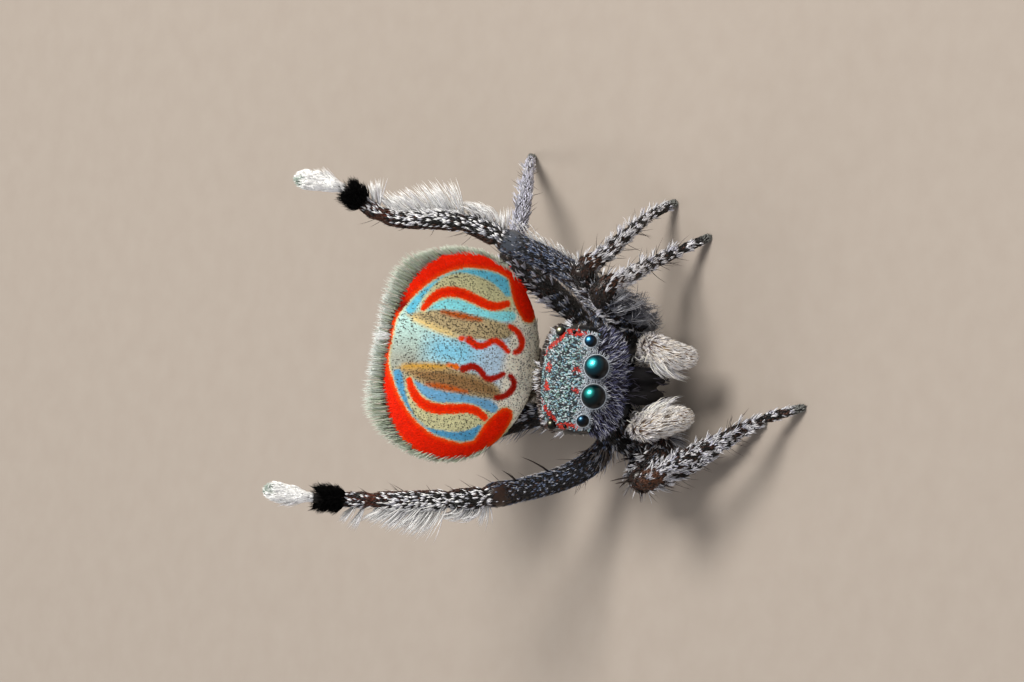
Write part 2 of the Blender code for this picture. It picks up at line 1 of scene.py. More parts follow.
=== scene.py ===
# %% [markdown]
# # A male peacock spider in display, at life size
#
# The animal is about 5 mm long. It faces us, holds up its spread and painted fan, and lifts its
# third legs like two flags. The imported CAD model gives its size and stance. This lesson dresses
# it: one skin over the whole body, bright eyes, and a coat of about a hundred thousand scales and hairs.

import math
from collections import namedtuple

import bmesh
import bpy
import numpy as np
from mathutils import Matrix, Vector
from mathutils.kdtree import KDTree


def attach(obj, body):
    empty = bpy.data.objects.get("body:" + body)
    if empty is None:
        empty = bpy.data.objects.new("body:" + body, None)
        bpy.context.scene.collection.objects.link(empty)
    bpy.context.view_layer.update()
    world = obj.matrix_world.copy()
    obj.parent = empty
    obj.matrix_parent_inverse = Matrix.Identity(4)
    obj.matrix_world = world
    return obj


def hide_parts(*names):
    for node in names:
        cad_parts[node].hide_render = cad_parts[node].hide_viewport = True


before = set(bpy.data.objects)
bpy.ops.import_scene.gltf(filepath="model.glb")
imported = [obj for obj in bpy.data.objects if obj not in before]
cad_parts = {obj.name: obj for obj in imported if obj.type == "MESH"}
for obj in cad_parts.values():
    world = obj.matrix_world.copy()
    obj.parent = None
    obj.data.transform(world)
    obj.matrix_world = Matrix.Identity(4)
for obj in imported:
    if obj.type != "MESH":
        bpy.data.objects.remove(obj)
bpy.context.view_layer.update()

# %% [markdown]
# Everything is laid out in millimetres, because the hairs are hundredths of one, and each finished
# mesh is turned to metres. Colours are written as sRGB hex, the way a painter's chart gives them,
# and one function turns them to the linear values that Blender mixes.

# %% Units, colours and random draws
MM = 0.001
SEED = 27


def linear(hex_colour):
    """An sRGB hex colour as linear red, green and blue."""
    parts = np.array([int(hex_colour[k:k + 2], 16) / 255 for k in (1, 3, 5)])
    return np.where(parts <= 0.04045, parts / 12.92, ((parts + 0.055) / 1.055) ** 2.4)


def unit(vectors):
    """Vectors at length one."""
    return vectors / np.maximum(np.linalg.norm(vectors, axis=-1, keepdims=True), 1e-9)


def per_mm(size):
    """Texture scale for a pattern that repeats every size millimetres."""
    return 1 / (size * MM)


# %% [markdown]
# The same named sizes as in the part give the places of head, fan and legs, so the skin lies inside
# the solids that it replaces. The head has its own frame at the middle of the front eyes, pitched
# nose up. The fan has one at the foot of the plate: across, up along the abdomen, and out of its face.

# %% Frames of the head and the fan
STANCE_SHIFT = np.array((-0.42, -0.945, 0.0))
EYE_HEIGHT = 1.85
HEAD_PITCH = math.radians(15)
HEAD_AXES = np.array(((1, 0, 0),
                      (0, math.cos(HEAD_PITCH), -math.sin(HEAD_PITCH)),
                      (0, math.sin(HEAD_PITCH), math.cos(HEAD_PITCH))))
HEAD_ORIGIN = np.array((0, 0, EYE_HEIGHT)) + STANCE_SHIFT

FAN_LEAN_BACK = math.radians(25)
FAN_LEAN_LEFT = math.radians(6)
FAN_UP = np.array((math.sin(FAN_LEAN_LEFT),
                   math.cos(FAN_LEAN_LEFT) * math.sin(FAN_LEAN_BACK),
                   math.cos(FAN_LEAN_LEFT) * math.cos(FAN_LEAN_BACK)))
FAN_OUT = np.array((0, -math.cos(FAN_LEAN_BACK), math.sin(FAN_LEAN_BACK)))
FAN_SIDE = unit(np.cross(FAN_UP, FAN_OUT))
FAN_AXES = np.array((FAN_SIDE, FAN_UP, FAN_OUT))
FAN_ORIGIN = np.array((0.0, 2.04, 1.18)) + STANCE_SHIFT


def head_point(across, back, up):
    """A place in the head frame, in millimetres of the scene."""
    return HEAD_ORIGIN + np.stack((across, back, up), axis=-1) @ HEAD_AXES


def fan_point(across, up, out):
    """A place in the fan's frame, in millimetres of the scene."""
    return FAN_ORIGIN + np.stack((across, up, out), axis=-1) @ FAN_AXES


def in_frame(points, origin, axes):
    """Places in the scene as they are in the head's or the fan's own frame."""
    return (points - origin) @ axes.T


print("front eyes at", np.round(head_point(0.0, 0.0, 0.0), 2), "mm")

# %% [markdown]
# The photograph looks down on the animal from the front with a long macro lens, and its picture is
# turned so that the spider's up points left. The camera stands where one millimetre at the eyes
# covers 68 pixels, and the middle of the front eyes falls where the photograph has it.

# %% Camera at the photograph's view
ELEVATION = math.radians(42)
ROLL = math.radians(5.64)
DISTANCE = 83.0
PIXELS_PER_MM = 68.0
PICTURE = (1024, 682)
EYES_AT_PIXEL = (594.85, 381.75)
SENSOR = 36.0

level = np.array((1.0, 0, 0))
rise = np.array((0, math.sin(ELEVATION), math.cos(ELEVATION)))
towards_camera = np.array((0, -math.cos(ELEVATION), math.sin(ELEVATION)))
picture_right = math.sin(ROLL) * level - math.cos(ROLL) * rise
picture_up = math.cos(ROLL) * level + math.sin(ROLL) * rise
offset = [(EYES_AT_PIXEL[k] - PICTURE[k] / 2) / PIXELS_PER_MM for k in (0, 1)]
camera_place = HEAD_ORIGIN + DISTANCE * towards_camera - offset[0] * picture_right + offset[1] * picture_up

lens = bpy.data.cameras.new("macro_lens")
lens.sensor_width = SENSOR
lens.lens = SENSOR * DISTANCE * PIXELS_PER_MM / PICTURE[0]
lens.clip_start = 0.001
lens.clip_end = 10.0
camera = bpy.data.objects.new("camera", lens)
bpy.context.scene.collection.objects.link(camera)
turn = Matrix(np.array((picture_right, picture_up, towards_camera)).T.tolist()).to_4x4()
camera.matrix_world = Matrix.Translation(Vector(camera_place * MM)) @ turn
bpy.context.scene.camera = camera
print("lens", round(lens.lens, 1), "mm, camera", np.round(camera_place, 1), "mm")

# %% [markdown]
# A material is a small tree of nodes. One function adds a node, gives its settings to properties or
# sockets, and joins its links, so that every finish below reads as a short list.

# %% One function that adds a node
def add_node(tree, kind, settings=(), links=()):
    """A node with its settings on properties or sockets, and its input links made."""
    node = tree.nodes.new(kind)
    sockets = {socket.name for socket in node.inputs}
    for key, value in dict(settings).items():
        if isinstance(key, int) or key in sockets:
            node.inputs[key].default_value = value
        else:
            setattr(node, key, value)
    for key, source in dict(links).items():
        tree.links.new(source, node.inputs[key])
    return node


def principled(name, settings):
    """A new material's name, tree and Principled shader with constants on its sockets."""
    material = bpy.data.materials.new(name)
    material.use_nodes = True
    shader = material.node_tree.nodes["Principled BSDF"]
    for key, value in settings.items():
        shader.inputs[key].default_value = value
    return material, material.node_tree, shader


# %% [markdown]
# The floor is a sheet of pale matt paper with a faint tooth, and the light is a macro studio's: one
# wide soft box above, a weaker one on the camera's side, and a pale room all round.

# %% Floor, light and room
FLOOR_HALF = 300.0
PAPER_GRAIN = 0.4

floor_bm = bmesh.new()
bmesh.ops.create_grid(floor_bm, x_segments=1, y_segments=1, size=FLOOR_HALF * MM)
floor_mesh = bpy.data.meshes.new("floor")
floor_bm.to_mesh(floor_mesh)
floor_bm.free()
floor = bpy.data.objects.new("floor", floor_mesh)
bpy.context.scene.collection.objects.link(floor)

paper, tree, shader = principled("pale_matt_paper", {"Roughness": 0.9})
coordinates = add_node(tree, "ShaderNodeTexCoord")
tooth = add_node(tree, "ShaderNodeTexNoise", {"Scale": per_mm(PAPER_GRAIN), "Detail": 3.0},
                 {"Vector": coordinates.outputs["Object"]})
ramp = add_node(tree, "ShaderNodeValToRGB", {}, {"Fac": tooth.outputs["Fac"]})
ramp.color_ramp.elements[0].color = (*linear("#978C82"), 1)
ramp.color_ramp.elements[1].color = (*linear("#9E948A"), 1)
tree.links.new(ramp.outputs["Color"], shader.inputs["Base Color"])
floor_mesh.materials.append(paper)


def soft_box(name, place, size, watts, colour):
    """A square area light that looks at the middle of the animal."""
    light = bpy.data.lights.new(name, "AREA")
    light.size = size * MM
    light.energy = watts
    light.color = linear(colour)
    box = bpy.data.objects.new(name, light)
    aim = Vector((0, 0, 2.2)) - Vector(place)
    box.matrix_world = Matrix.Translation(Vector(place) * MM) @ aim.to_track_quat("-Z", "Y").to_matrix().to_4x4()
    bpy.context.scene.collection.objects.link(box)
    return box


soft_box("key_above", (52, 2, 78), 44, 0.118, "#FFFCF7")
fill = soft_box("fill_front", (-50, -80, 40), 80, 0.040, "#F4F5FF")
# Only the key is mirrored in the eyes: the fill lifts the shade and leaves no second glint.
fill.visible_glossy = False
rim = soft_box("rim_behind", (-30, 70, 50), 40, 0.022, "#FFFFFF")
rim.visible_glossy = False
room = bpy.data.worlds.new("pale_room")
bpy.context.scene.world = room
room.use_nodes = True
room.node_tree.nodes["Background"].inputs["Color"].default_value = (*linear("#E4E2DF"), 1)
room.node_tree.nodes["Background"].inputs["Strength"].default_value = 0.40
# The plain sRGB transform keeps the fan's pure reds and blues, which a film-like one would fade.
bpy.context.scene.view_settings.view_transform = "Standard"

# %% [markdown]
# Each leg and palp is a smooth path through its joints, with a radius at each. A path answers with
# its place, heading, radius and the directions round it. The same answers shape the skin, place the
# markings and comb the hairs.

# %% Paths of the legs and palps
COAT_DEPTH = 0.02
FOOT = 0.04
LEG_JOINTS = {
    "leg_1_left": ((0.52, 0.35, 0.93), (0.88, 0.22, 0.95), (1.12, 0.16, 1.36), (1.36, -0.03, 1.90),
                   (1.53, -0.10, 1.62), (1.85, 0.08, 0.80), (2.07, 0.00, 0.38), (2.29, -0.20, FOOT)),
    "leg_1_right": ((-0.52, 0.35, 0.93), (-0.68, 0.08, 0.87), (-0.86, -0.42, 0.80), (-1.39, -0.65, 1.30),
                    (-1.18, -0.96, 1.20), (-0.61, -1.76, 0.80), (-0.31, -2.11, 0.42), (-0.08, -2.52, FOOT)),
    "leg_2_left": ((0.52, 0.69, 0.84), (0.90, 0.66, 0.84), (1.24, 0.64, 1.25), (1.63, 0.62, 1.73),
                   (1.82, 0.50, 1.53), (2.26, 0.48, 1.00), (2.54, 0.61, 0.50), (2.77, 0.60, FOOT)),
    "leg_2_right": ((-0.52, 0.69, 0.84), (-0.80, 0.60, 0.72), (-0.98, 0.28, 0.55), (-1.38, -0.10, 0.78),
                    (-1.25, -0.40, 0.48), (-0.75, -1.18, 0.30), (-0.54, -1.47, 0.19), (-0.33, -1.75, FOOT)),
    "leg_3_left": ((0.52, 1.03, 0.75), (0.92, 1.10, 0.78), (1.48, 1.30, 1.17), (1.97, 1.80, 2.30),
                   (2.15, 2.08, 2.82), (2.15, 2.66, 4.00), (2.47, 2.92, 4.57), (2.56, 3.27, 5.33)),
    "leg_3_right": ((-0.52, 1.03, 0.75), (-0.88, 1.00, 0.58), (-1.19, 1.16, 0.64), (-1.86, 1.80, 2.08),
                    (-1.96, 2.00, 2.68), (-2.07, 2.50, 3.77), (-2.11, 2.90, 4.62), (-2.05, 3.24, 5.33)),
    "leg_4_left": ((0.52, 1.36, 0.66), (0.85, 1.65, 0.66), (1.31, 2.12, 1.04), (1.77, 2.60, 1.42),
                   (2.08, 2.70, 1.24), (2.73, 2.95, 0.92), (3.07, 3.40, 0.50), (3.33, 3.87, FOOT)),
    "leg_4_right": ((-0.52, 1.36, 0.66), (-0.62, 1.75, 0.68), (-0.60, 2.35, 0.75), (-1.00, 3.00, 1.50),
                    (-1.02, 3.25, 1.38), (-1.10, 3.80, 0.80), (-1.10, 4.10, 0.42), (-1.10, 4.35, FOOT)),
}
# Radii of the flesh at the joints. The coat fills the rest, out to the solids of the CAD.
LEG_RADII = (0.11, 0.15, 0.185, 0.160, 0.125, 0.095, 0.075, 0.065)
RAISED_LEG_RADII = (0.11, 0.15, 0.19, 0.165, 0.150, 0.125, 0.085, 0.045)
PALP_JOINTS = {
    "palp_left": ((0.36, 0.20, 0.86), (0.50, -0.14, 0.93), (0.60, -0.42, 1.16),
                  (0.53, -0.58, 1.08), (0.48, -0.88, 0.66)),
    "palp_right": ((-0.36, 0.20, 0.86), (-0.50, -0.14, 0.93), (-0.62, -0.42, 1.18),
                   (-0.54, -0.58, 1.10), (-0.34, -0.95, 0.65)),
}
PALP_RADII = (0.10, 0.11, 0.13, 0.175, 0.13)
# The flesh of a palp ends blunt before the last joint, and so does that of a raised foot.
PALP_END = 3.66
RAISED_FOOT_END = 6.74
# The flesh draws in at each joint, as hard segments do where soft skin joins them.
LEG_PINCHES = (1.0, 3.12, 4.0, 5.0, 6.0)
PALP_PINCHES = (1.0, 2.0, 2.75)
PINCH_SHARE = 0.24
PINCH_REACH = 0.08
# The knee swells to a round knob.
KNEE = 2.93
KNEE_SWELL, KNEE_SWELL_REACH = 0.18, 0.11


class Limb:
    """A smooth path through joints, which answers for many places at once."""

    def __init__(self, joints, radii, pinches, aim):
        self.joints = np.array(joints) + STANCE_SHIFT
        self.radii = np.array(radii)
        self.pinches = np.array(pinches)
        self.aim = unit(np.array(aim, dtype=float))
        self.last = len(self.joints) - 1
        self.swell = KNEE_SWELL if self.last > 5 else 0.0
        steps = unit(np.diff(self.joints, axis=0))
        self.headings = unit(np.vstack((steps[:1], steps)) + np.vstack((steps, steps[-1:])))

    def point(self, t):
        t = np.clip(np.atleast_1d(t).astype(float), 0, self.last)
        k = np.minimum(t.astype(int), self.last - 1)
        f = (t - k)[:, None]
        a, b = self.joints[k], self.joints[k + 1]
        pull = np.linalg.norm(b - a, axis=1, keepdims=True)
        return (a * (2 * f**3 - 3 * f**2 + 1) + b * (3 * f**2 - 2 * f**3)
                + self.headings[k] * pull * (f**3 - 2 * f**2 + f)
                + self.headings[k + 1] * pull * (f**3 - f**2))

    def heading(self, t):
        t = np.clip(np.atleast_1d(t).astype(float), 0.01, self.last - 0.01)
        return unit(self.point(t + 0.01) - self.point(t - 0.01))

    def radius(self, t):
        t = np.atleast_1d(t).astype(float)
        plain = np.interp(t, np.arange(self.last + 1), self.radii)
        near = np.abs(t[:, None] - self.pinches).min(axis=1)
        knob = self.swell * np.exp(-((t - KNEE) / KNEE_SWELL_REACH) ** 2)
        return plain * (1 - PINCH_SHARE * np.exp(-(near / PINCH_REACH) ** 2)) * (1 + knob)

    def along(self, t):
        """Millimetres from the hip to each place."""
        marks = np.linspace(0, self.last, 200)
        steps = np.linalg.norm(np.diff(self.point(marks), axis=0), axis=1)
        return np.interp(t, marks, np.concatenate(((0,), np.cumsum(steps))))

    def sides(self, t):
        """Two directions square to the path: the one nearest the limb's aim, and across it."""
        heading = self.heading(t)
        first = unit(self.aim - heading * (heading @ self.aim)[:, None])
        return first, np.cross(heading, first)

    def side(self, t, angle):
        first, second = self.sides(t)
        return first * np.cos(angle)[:, None] + second * np.sin(angle)[:, None]

    def place_of(self, points):
        """Where along the path and how far round it each point is."""
        marks = np.linspace(0, self.last, 60 * self.last)
        path = self.point(marks)
        near = np.empty(len(points))
        for start in range(0, len(points), 4000):
            block = points[start:start + 4000]
            far = ((block[:, None] - path[None]) ** 2).sum(axis=2)
            near[start:start + 4000] = marks[far.argmin(axis=1)]
        first, second = self.sides(near)
        away = points - self.point(near)
        return near, np.arctan2((away * second).sum(axis=1), (away * first).sum(axis=1))


def limb_aim(name):
    """The outer side of a raised leg, and the upper side of the other limbs."""
    sign = 1 if name.endswith("left") else -1
    return (sign, 0.1, 0.1) if name.startswith("leg_3") else (0.1 * sign, -0.1, 1)


limbs = {}
for name, joints in LEG_JOINTS.items():
    radii = RAISED_LEG_RADII if name.startswith("leg_3") else LEG_RADII
    limbs[name] = Limb(joints, radii, LEG_PINCHES, limb_aim(name))
for name, joints in PALP_JOINTS.items():
    limbs[name] = Limb(joints, PALP_RADII, PALP_PINCHES, limb_aim(name))
for name, limb in limbs.items():
    run = limb.point(np.linspace(0, limb.last, 200))
    print(name, "is", round(float(np.linalg.norm(np.diff(run, axis=0), axis=1).sum()), 2), "mm long")

# %% [markdown]
# One skin covers the whole animal. Its flesh is built from rings that are bridged into tubes and
# domes, all sunk into one another, and a voxel remesh melts them into one closed surface with no
# seam. Every ring also carries the name of its part, so that the skin later knows what it is
# a skin of.

# %% Rings and lofts for the flesh
flesh = bmesh.new()
region_layer = flesh.verts.layers.int.new("region")
REGIONS = ["head", "sternum", "mouth", "waist", "belly", "fan", "spinnerets", *limbs]


def label(verts, region):
    """Writes the part's number on its vertices."""
    for vert in verts:
        vert[region_layer] = REGIONS.index(region)


def flesh_ring(centre, across, deep, power=2.0, sides=24, cap=False):
    """A ring round a centre: a circle stretched to two half sizes, boxier for a higher power."""
    made = bmesh.ops.create_circle(flesh, cap_ends=cap, segments=sides, radius=1.0)["verts"]
    for vert in made:
        x, y = vert.co.x, vert.co.y
        reach = (abs(x) ** power + abs(y) ** power) ** (-1 / power)
        vert.co = Vector(centre + across * x * reach + deep * y * reach)
    return made


def bridge(rings, region):
    """Joins neighbouring rings into one closed tube."""
    loops = []
    for ring in rings:
        members = set(ring)
        loops.append([edge for edge in {e for v in ring for e in v.link_edges}
                      if edge.verts[0] in members and edge.verts[1] in members])
    for low, high in zip(loops, loops[1:]):
        bmesh.ops.bridge_loops(flesh, edges=low + high)
    label([vert for ring in rings for vert in ring], region)


def flesh_ball(centre, half, axes, region, segments=20):
    """A sphere stretched along three axes."""
    made = bmesh.ops.create_uvsphere(flesh, u_segments=segments, v_segments=segments // 2, radius=1.0)["verts"]
    for vert in made:
        vert.co = Vector(centre + (np.array(vert.co) * half) @ axes)
    label(made, region)


def flow(stations, places):
    """Values on a smooth curve through rows of stations, the first column being the place."""
    rows = np.array(stations)
    slopes = np.gradient(rows, rows[:, 0], axis=0)
    k = np.clip(np.searchsorted(rows[:, 0], places) - 1, 0, len(rows) - 2)
    span = (rows[k + 1, 0] - rows[k, 0])[:, None]
    f = (np.asarray(places)[:, None] - rows[k, :1]) / span
    return (rows[k] * (2 * f**3 - 3 * f**2 + 1) + rows[k + 1] * (3 * f**2 - 2 * f**3)
            + slopes[k] * span * (f**3 - 2 * f**2 + f) + slopes[k + 1] * span * (f**3 - f**2))


# %% [markdown]
# The head and thorax are one boxy shield, lofted from rings whose width, top and bottom are known
# at a few places from front to back. Under it lie the breastplate, the two jaws and the thin waist.

# %% Flesh of the head and thorax
CARAPACE_WIDTH = 1.69
CARAPACE_BOXINESS = 2.6
CARAPACE_STATIONS = (
    # back from the eyes, half width as a share of the widest, top, bottom margin
    (-0.075, 0.32, -0.05, -0.32),
    (-0.05, 0.56, 0.02, -0.40),
    (-0.01, 0.78, 0.10, -0.48),
    (0.05, 0.89, 0.155, -0.53),
    (0.12, 0.93, 0.20, -0.55),
    (0.22, 0.95, 0.275, -0.56),
    (0.45, 0.97, 0.37, -0.58),
    (0.75, 0.99, 0.40, -0.60),
    (1.05, 1.00, 0.36, -0.62),
    (1.35, 0.97, 0.24, -0.62),
    (1.60, 0.87, 0.06, -0.60),
    (1.80, 0.66, -0.14, -0.56),
    (1.92, 0.35, -0.30, -0.50),
)
STERNUM_CENTRE = (0.0, 1.08, -0.72)
STERNUM_HALF = (0.38, 0.73, 0.23)
CHELICERA_STATIONS = (
    # up, across, back, half width, half depth
    (-1.20, 0.135, 0.08, 0.07, 0.07),
    (-1.06, 0.145, 0.05, 0.118, 0.12),
    (-0.88, 0.155, 0.06, 0.13, 0.15),
    (-0.70, 0.155, 0.10, 0.13, 0.14),
    (-0.45, 0.16, 0.16, 0.125, 0.12),
)

rings = []
places = np.concatenate((np.linspace(-0.075, 0.08, 8), np.linspace(0.12, 1.92, 36)))
for back, share, top, bottom in flow(CARAPACE_STATIONS, places):
    top, bottom = top - COAT_DEPTH, bottom + COAT_DEPTH
    middle, half = (top + bottom) / 2, (top - bottom) / 2
    ends = back < -0.074 or back > 1.919
    rings.append(flesh_ring(head_point(0.0, back, middle),
                            HEAD_AXES[0] * (share * CARAPACE_WIDTH / 2 - COAT_DEPTH),
                            HEAD_AXES[2] * half, CARAPACE_BOXINESS, 48, ends))
bridge(rings, "head")
flesh_ball(head_point(*STERNUM_CENTRE), STERNUM_HALF, HEAD_AXES, "sternum")
for sign in (-1, 1):
    rings = []
    for up, across, back, wide, deep in flow(CHELICERA_STATIONS, np.linspace(-1.20, -0.45, 12)):
        rings.append(flesh_ring(head_point(sign * across, back, up), HEAD_AXES[0] * wide,
                                HEAD_AXES[1] * deep, 2.2, 18, up < -1.19 or up > -0.46))
    bridge(rings, "mouth")
print("head flesh:", len(flesh.verts), "points")

# %% [markdown]
# The fan is a rounded shallow dome at the rear of the back, with the egg-shaped belly behind it.
# The plate is a sphere pressed flat, because that closes its rim all round by itself. The belly is
# a loft again, and a soft lump ties it to the plate.

# %% Flesh of the fan, belly, waist and spinnerets
FAN_CENTRE = (0.05, 1.22)
FAN_HALF = (1.60, 1.12)
# Towards the head the plate reaches farther and bends down to the waist.
FAN_HALF_FRONT = 1.31
# The half towards the tip is squarer than the half towards the waist.
FAN_SQUARENESS, FAN_SQUARENESS_FRONT = 2.3, 2.0
FAN_THICKNESS = 0.42
FAN_DOME = 0.08
BELLY_STATIONS = (
    # up, out, half width and half depth from the waist to the spinnerets
    (-0.28, -0.14, 0.16, 0.15),
    (-0.16, -0.42, 0.34, 0.24),
    (0.10, -0.72, 0.52, 0.36),
    (0.50, -0.88, 0.68, 0.44),
    (0.95, -0.95, 0.76, 0.48),
    (1.38, -0.93, 0.70, 0.45),
    (1.72, -0.86, 0.54, 0.36),
    (1.95, -0.80, 0.32, 0.24),
)
SPINNERET_TIPS = ((-0.10, 2.20, -0.72), (0.10, 2.20, -0.72), (-0.11, 2.22, -0.86),
                  (0.11, 2.22, -0.86), (-0.05, 2.16, -0.94), (0.05, 2.16, -0.94))


def fan_spread(across, up):
    """0 at the fan's middle and 1 at its rim."""
    x = np.abs((across - FAN_CENTRE[0]) / FAN_HALF[0])
    half = np.where(up > FAN_CENTRE[1], FAN_HALF[1], FAN_HALF_FRONT)
    power = np.where(up > FAN_CENTRE[1], FAN_SQUARENESS, FAN_SQUARENESS_FRONT)
    y = np.abs((up - FAN_CENTRE[1]) / half)
    return (x**power + y**power) ** (1 / power)


plate = bmesh.ops.create_uvsphere(flesh, u_segments=96, v_segments=40, radius=1.0)["verts"]
for vert in plate:
    x, y, z = vert.co
    flat = math.hypot(x, y)
    if flat > 1e-6:
        power = FAN_SQUARENESS if y > 0 else FAN_SQUARENESS_FRONT
        reach = (abs(x / flat) ** power + abs(y / flat) ** power) ** (-1 / power)
        x, y = x * reach, y * reach
    out = FAN_DOME * (1 - flat**2) - FAN_THICKNESS / 2 + z * (FAN_THICKNESS / 2 - COAT_DEPTH)
    half = FAN_HALF[1] if y > 0 else FAN_HALF_FRONT
    vert.co = Vector(fan_point(FAN_CENTRE[0] + x * (FAN_HALF[0] - COAT_DEPTH),
                               FAN_CENTRE[1] + y * (half - COAT_DEPTH), out))
label(plate, "fan")
rings = []
for up, out, wide, deep in flow(BELLY_STATIONS, np.linspace(-0.28, 1.95, 30)):
    rings.append(flesh_ring(fan_point(0.0, up, out), FAN_SIDE * (wide - COAT_DEPTH),
                            FAN_OUT * (deep - COAT_DEPTH), 2.0, 40, up < -0.27 or up > 1.94))
bridge(rings, "belly")
flesh_ball(fan_point(0.0, 1.0, -0.45), (0.55, 0.85, 0.22), FAN_AXES, "belly")
for across, up, out in SPINNERET_TIPS:
    base = fan_point(across * 0.7, up - 0.36, out)
    tip = fan_point(across, up, out)
    bridge([flesh_ring(base + (tip - base) * s, FAN_SIDE * r, FAN_OUT * r, 2.0, 12, s in (0, 1))
            for s, r in ((0, 0.07), (0.6, 0.06), (0.9, 0.045), (1, 0.025))], "spinnerets")
waist_start, waist_end = head_point(0.0, 1.7, -0.42), fan_point(0.0, -0.1, -0.3)
bridge([flesh_ring(waist_start + (waist_end - waist_start) * s, HEAD_AXES[0] * 0.12, HEAD_AXES[2] * 0.12,
                   2.0, 16, s in (0, 1)) for s in (0, 0.5, 1)], "waist")

# %% [markdown]
# Legs and palps are tubes of rings along their paths, each with a short hip that reaches into the
# breastplate and a ball at its tip. A ball at the knee keeps the bend full.

# %% Flesh of the legs and palps
RINGS_PER_SPAN = 14
HIP_INNER = 0.16

for name, limb in limbs.items():
    rings = []
    # Hairs reach past the flesh of a palp and of a raised foot, which ends short of the last joint.
    end = PALP_END if name in PALP_JOINTS else RAISED_FOOT_END if name.startswith("leg_3") else limb.last
    steps = np.linspace(0, end, RINGS_PER_SPAN * limb.last + 1)
    first, second = limb.sides(steps)
    for k, (centre, radius) in enumerate(zip(limb.point(steps), limb.radius(steps))):
        rings.append(flesh_ring(centre, first[k] * radius, second[k] * radius, 2.0, 18,
                                k in (0, len(steps) - 1)))
    bridge(rings, name)
    flesh_ball(limb.point(end)[0], (limb.radius(end)[0],) * 3, np.eye(3), name, 12)
    hip = limb.joints[0]
    inward = HIP_INNER * np.sign(hip[0] - STANCE_SHIFT[0]) + STANCE_SHIFT[0]
    inner = np.array((inward, hip[1], hip[2] + 0.03))
    bridge([flesh_ring(inner + (hip - inner) * s, HEAD_AXES[1] * r, HEAD_AXES[2] * r, 2.0, 16, s in (0, 1.1))
            for s, r in ((0, 0.13), (0.6, 0.165), (0.95, 0.15), (1.1, 0.10))], name)
bmesh.ops.recalc_face_normals(flesh, faces=flesh.faces)
print("flesh:", len(flesh.verts), "points in", len(limbs), "limbs and the body")

# %% [markdown]
# The voxel remesh fills the union of all these closed shapes with cubes of 0.031 mm and wraps one
# surface round them. A few rounds of smoothing take the steps away, and what dips below the floor
# is pressed flat, which gives each foot the small flat that it stands on.

# %% One skin by a voxel remesh
VOXEL = 0.031
SMOOTH_ROUNDS = 3

source_points = np.array([vert.co for vert in flesh.verts])
source_regions = np.array([vert[region_layer] for vert in flesh.verts])
tree_of_source = KDTree(len(source_points))
for index, place in enumerate(source_points):
    tree_of_source.insert(place, index)
tree_of_source.balance()

rough_mesh = bpy.data.meshes.new("flesh")
flesh.to_mesh(rough_mesh)
flesh.free()
rough = bpy.data.objects.new("flesh", rough_mesh)
bpy.context.scene.collection.objects.link(rough)
remesh = rough.modifiers.new("melt", "REMESH")
remesh.mode = "VOXEL"
remesh.voxel_size = VOXEL
remesh.use_smooth_shade = True
melted = bpy.data.meshes.new_from_object(rough.evaluated_get(bpy.context.evaluated_depsgraph_get()))
bpy.data.objects.remove(rough, do_unlink=True)

skin_bm = bmesh.new()
skin_bm.from_mesh(melted)
bpy.data.meshes.remove(melted)
for _ in range(SMOOTH_ROUNDS):
    bmesh.ops.smooth_vert(skin_bm, verts=skin_bm.verts, factor=0.5, use_axis_x=True, use_axis_y=True,
                          use_axis_z=True)
for vert in skin_bm.verts:
    vert.co.z = max(vert.co.z, 0.001)
bmesh.ops.triangulate(skin_bm, faces=skin_bm.faces)
skin_bm.normal_update()
skin_points = np.array([vert.co for vert in skin_bm.verts])
skin_normals = np.array([vert.normal for vert in skin_bm.verts])
skin_faces = np.array([[vert.index for vert in face.verts] for face in skin_bm.faces])
skin_regions = np.array([source_regions[tree_of_source.find(place)[1]] for place in skin_points])
corner = skin_points[skin_faces]
face_areas = np.linalg.norm(np.cross(corner[:, 1] - corner[:, 0], corner[:, 2] - corner[:, 0]), axis=1) / 2
face_regions = skin_regions[skin_faces[:, 0]]
print("skin:", len(skin_faces), "triangles,", round(float(face_areas.sum()), 1), "square mm")

# %% [markdown]
# The fan's picture is painted by rule, not from an image. Each mark is a path with a width, in the
# fan's own millimetres, drawn once and mirrored about the middle line. A point takes the colour of
# the last mark that covers it. Skin and scales ask the same function, so they agree.

# %% Marks of the fan
FAN_MIDDLE = 0.09
RING = ((0, 2.30, 0.09), (0.35, 2.29, 0.11), (0.65, 2.20, 0.20), (0.95, 2.05, 0.29), (1.22, 1.80, 0.33),
        (1.42, 1.45, 0.35), (1.475, 1.14, 0.36), (1.455, 0.92, 0.31), (1.39, 0.76, 0.25),
        (1.31, 0.63, 0.23), (1.19, 0.54, 0.28), (1.06, 0.46, 0.34), (0.92, 0.38, 0.33), (0.78, 0.30, 0.26))
INNER_RED = ((0.54, 1.90, 0.08), (0.68, 1.82, 0.12), (0.83, 1.66, 0.15), (0.88, 1.42, 0.16),
             (0.84, 1.17, 0.15), (0.79, 0.95, 0.14), (0.80, 0.78, 0.13), (0.87, 0.62, 0.10))
BLUE_ARC = ((0.48, 2.08, 0.12), (0.80, 1.95, 0.13), (1.07, 1.75, 0.11), (1.22, 1.48, 0.10),
            (1.24, 1.18, 0.12), (1.22, 0.92, 0.17), (1.15, 0.72, 0.22), (1.09, 0.64, 0.22))
LIGHT_BAND = ((0.50, 1.82, 0.07), (0.62, 1.68, 0.14), (0.69, 1.45, 0.18), (0.67, 1.20, 0.16),
              (0.64, 0.95, 0.15), (0.66, 0.72, 0.16), (0.70, 0.52, 0.14))
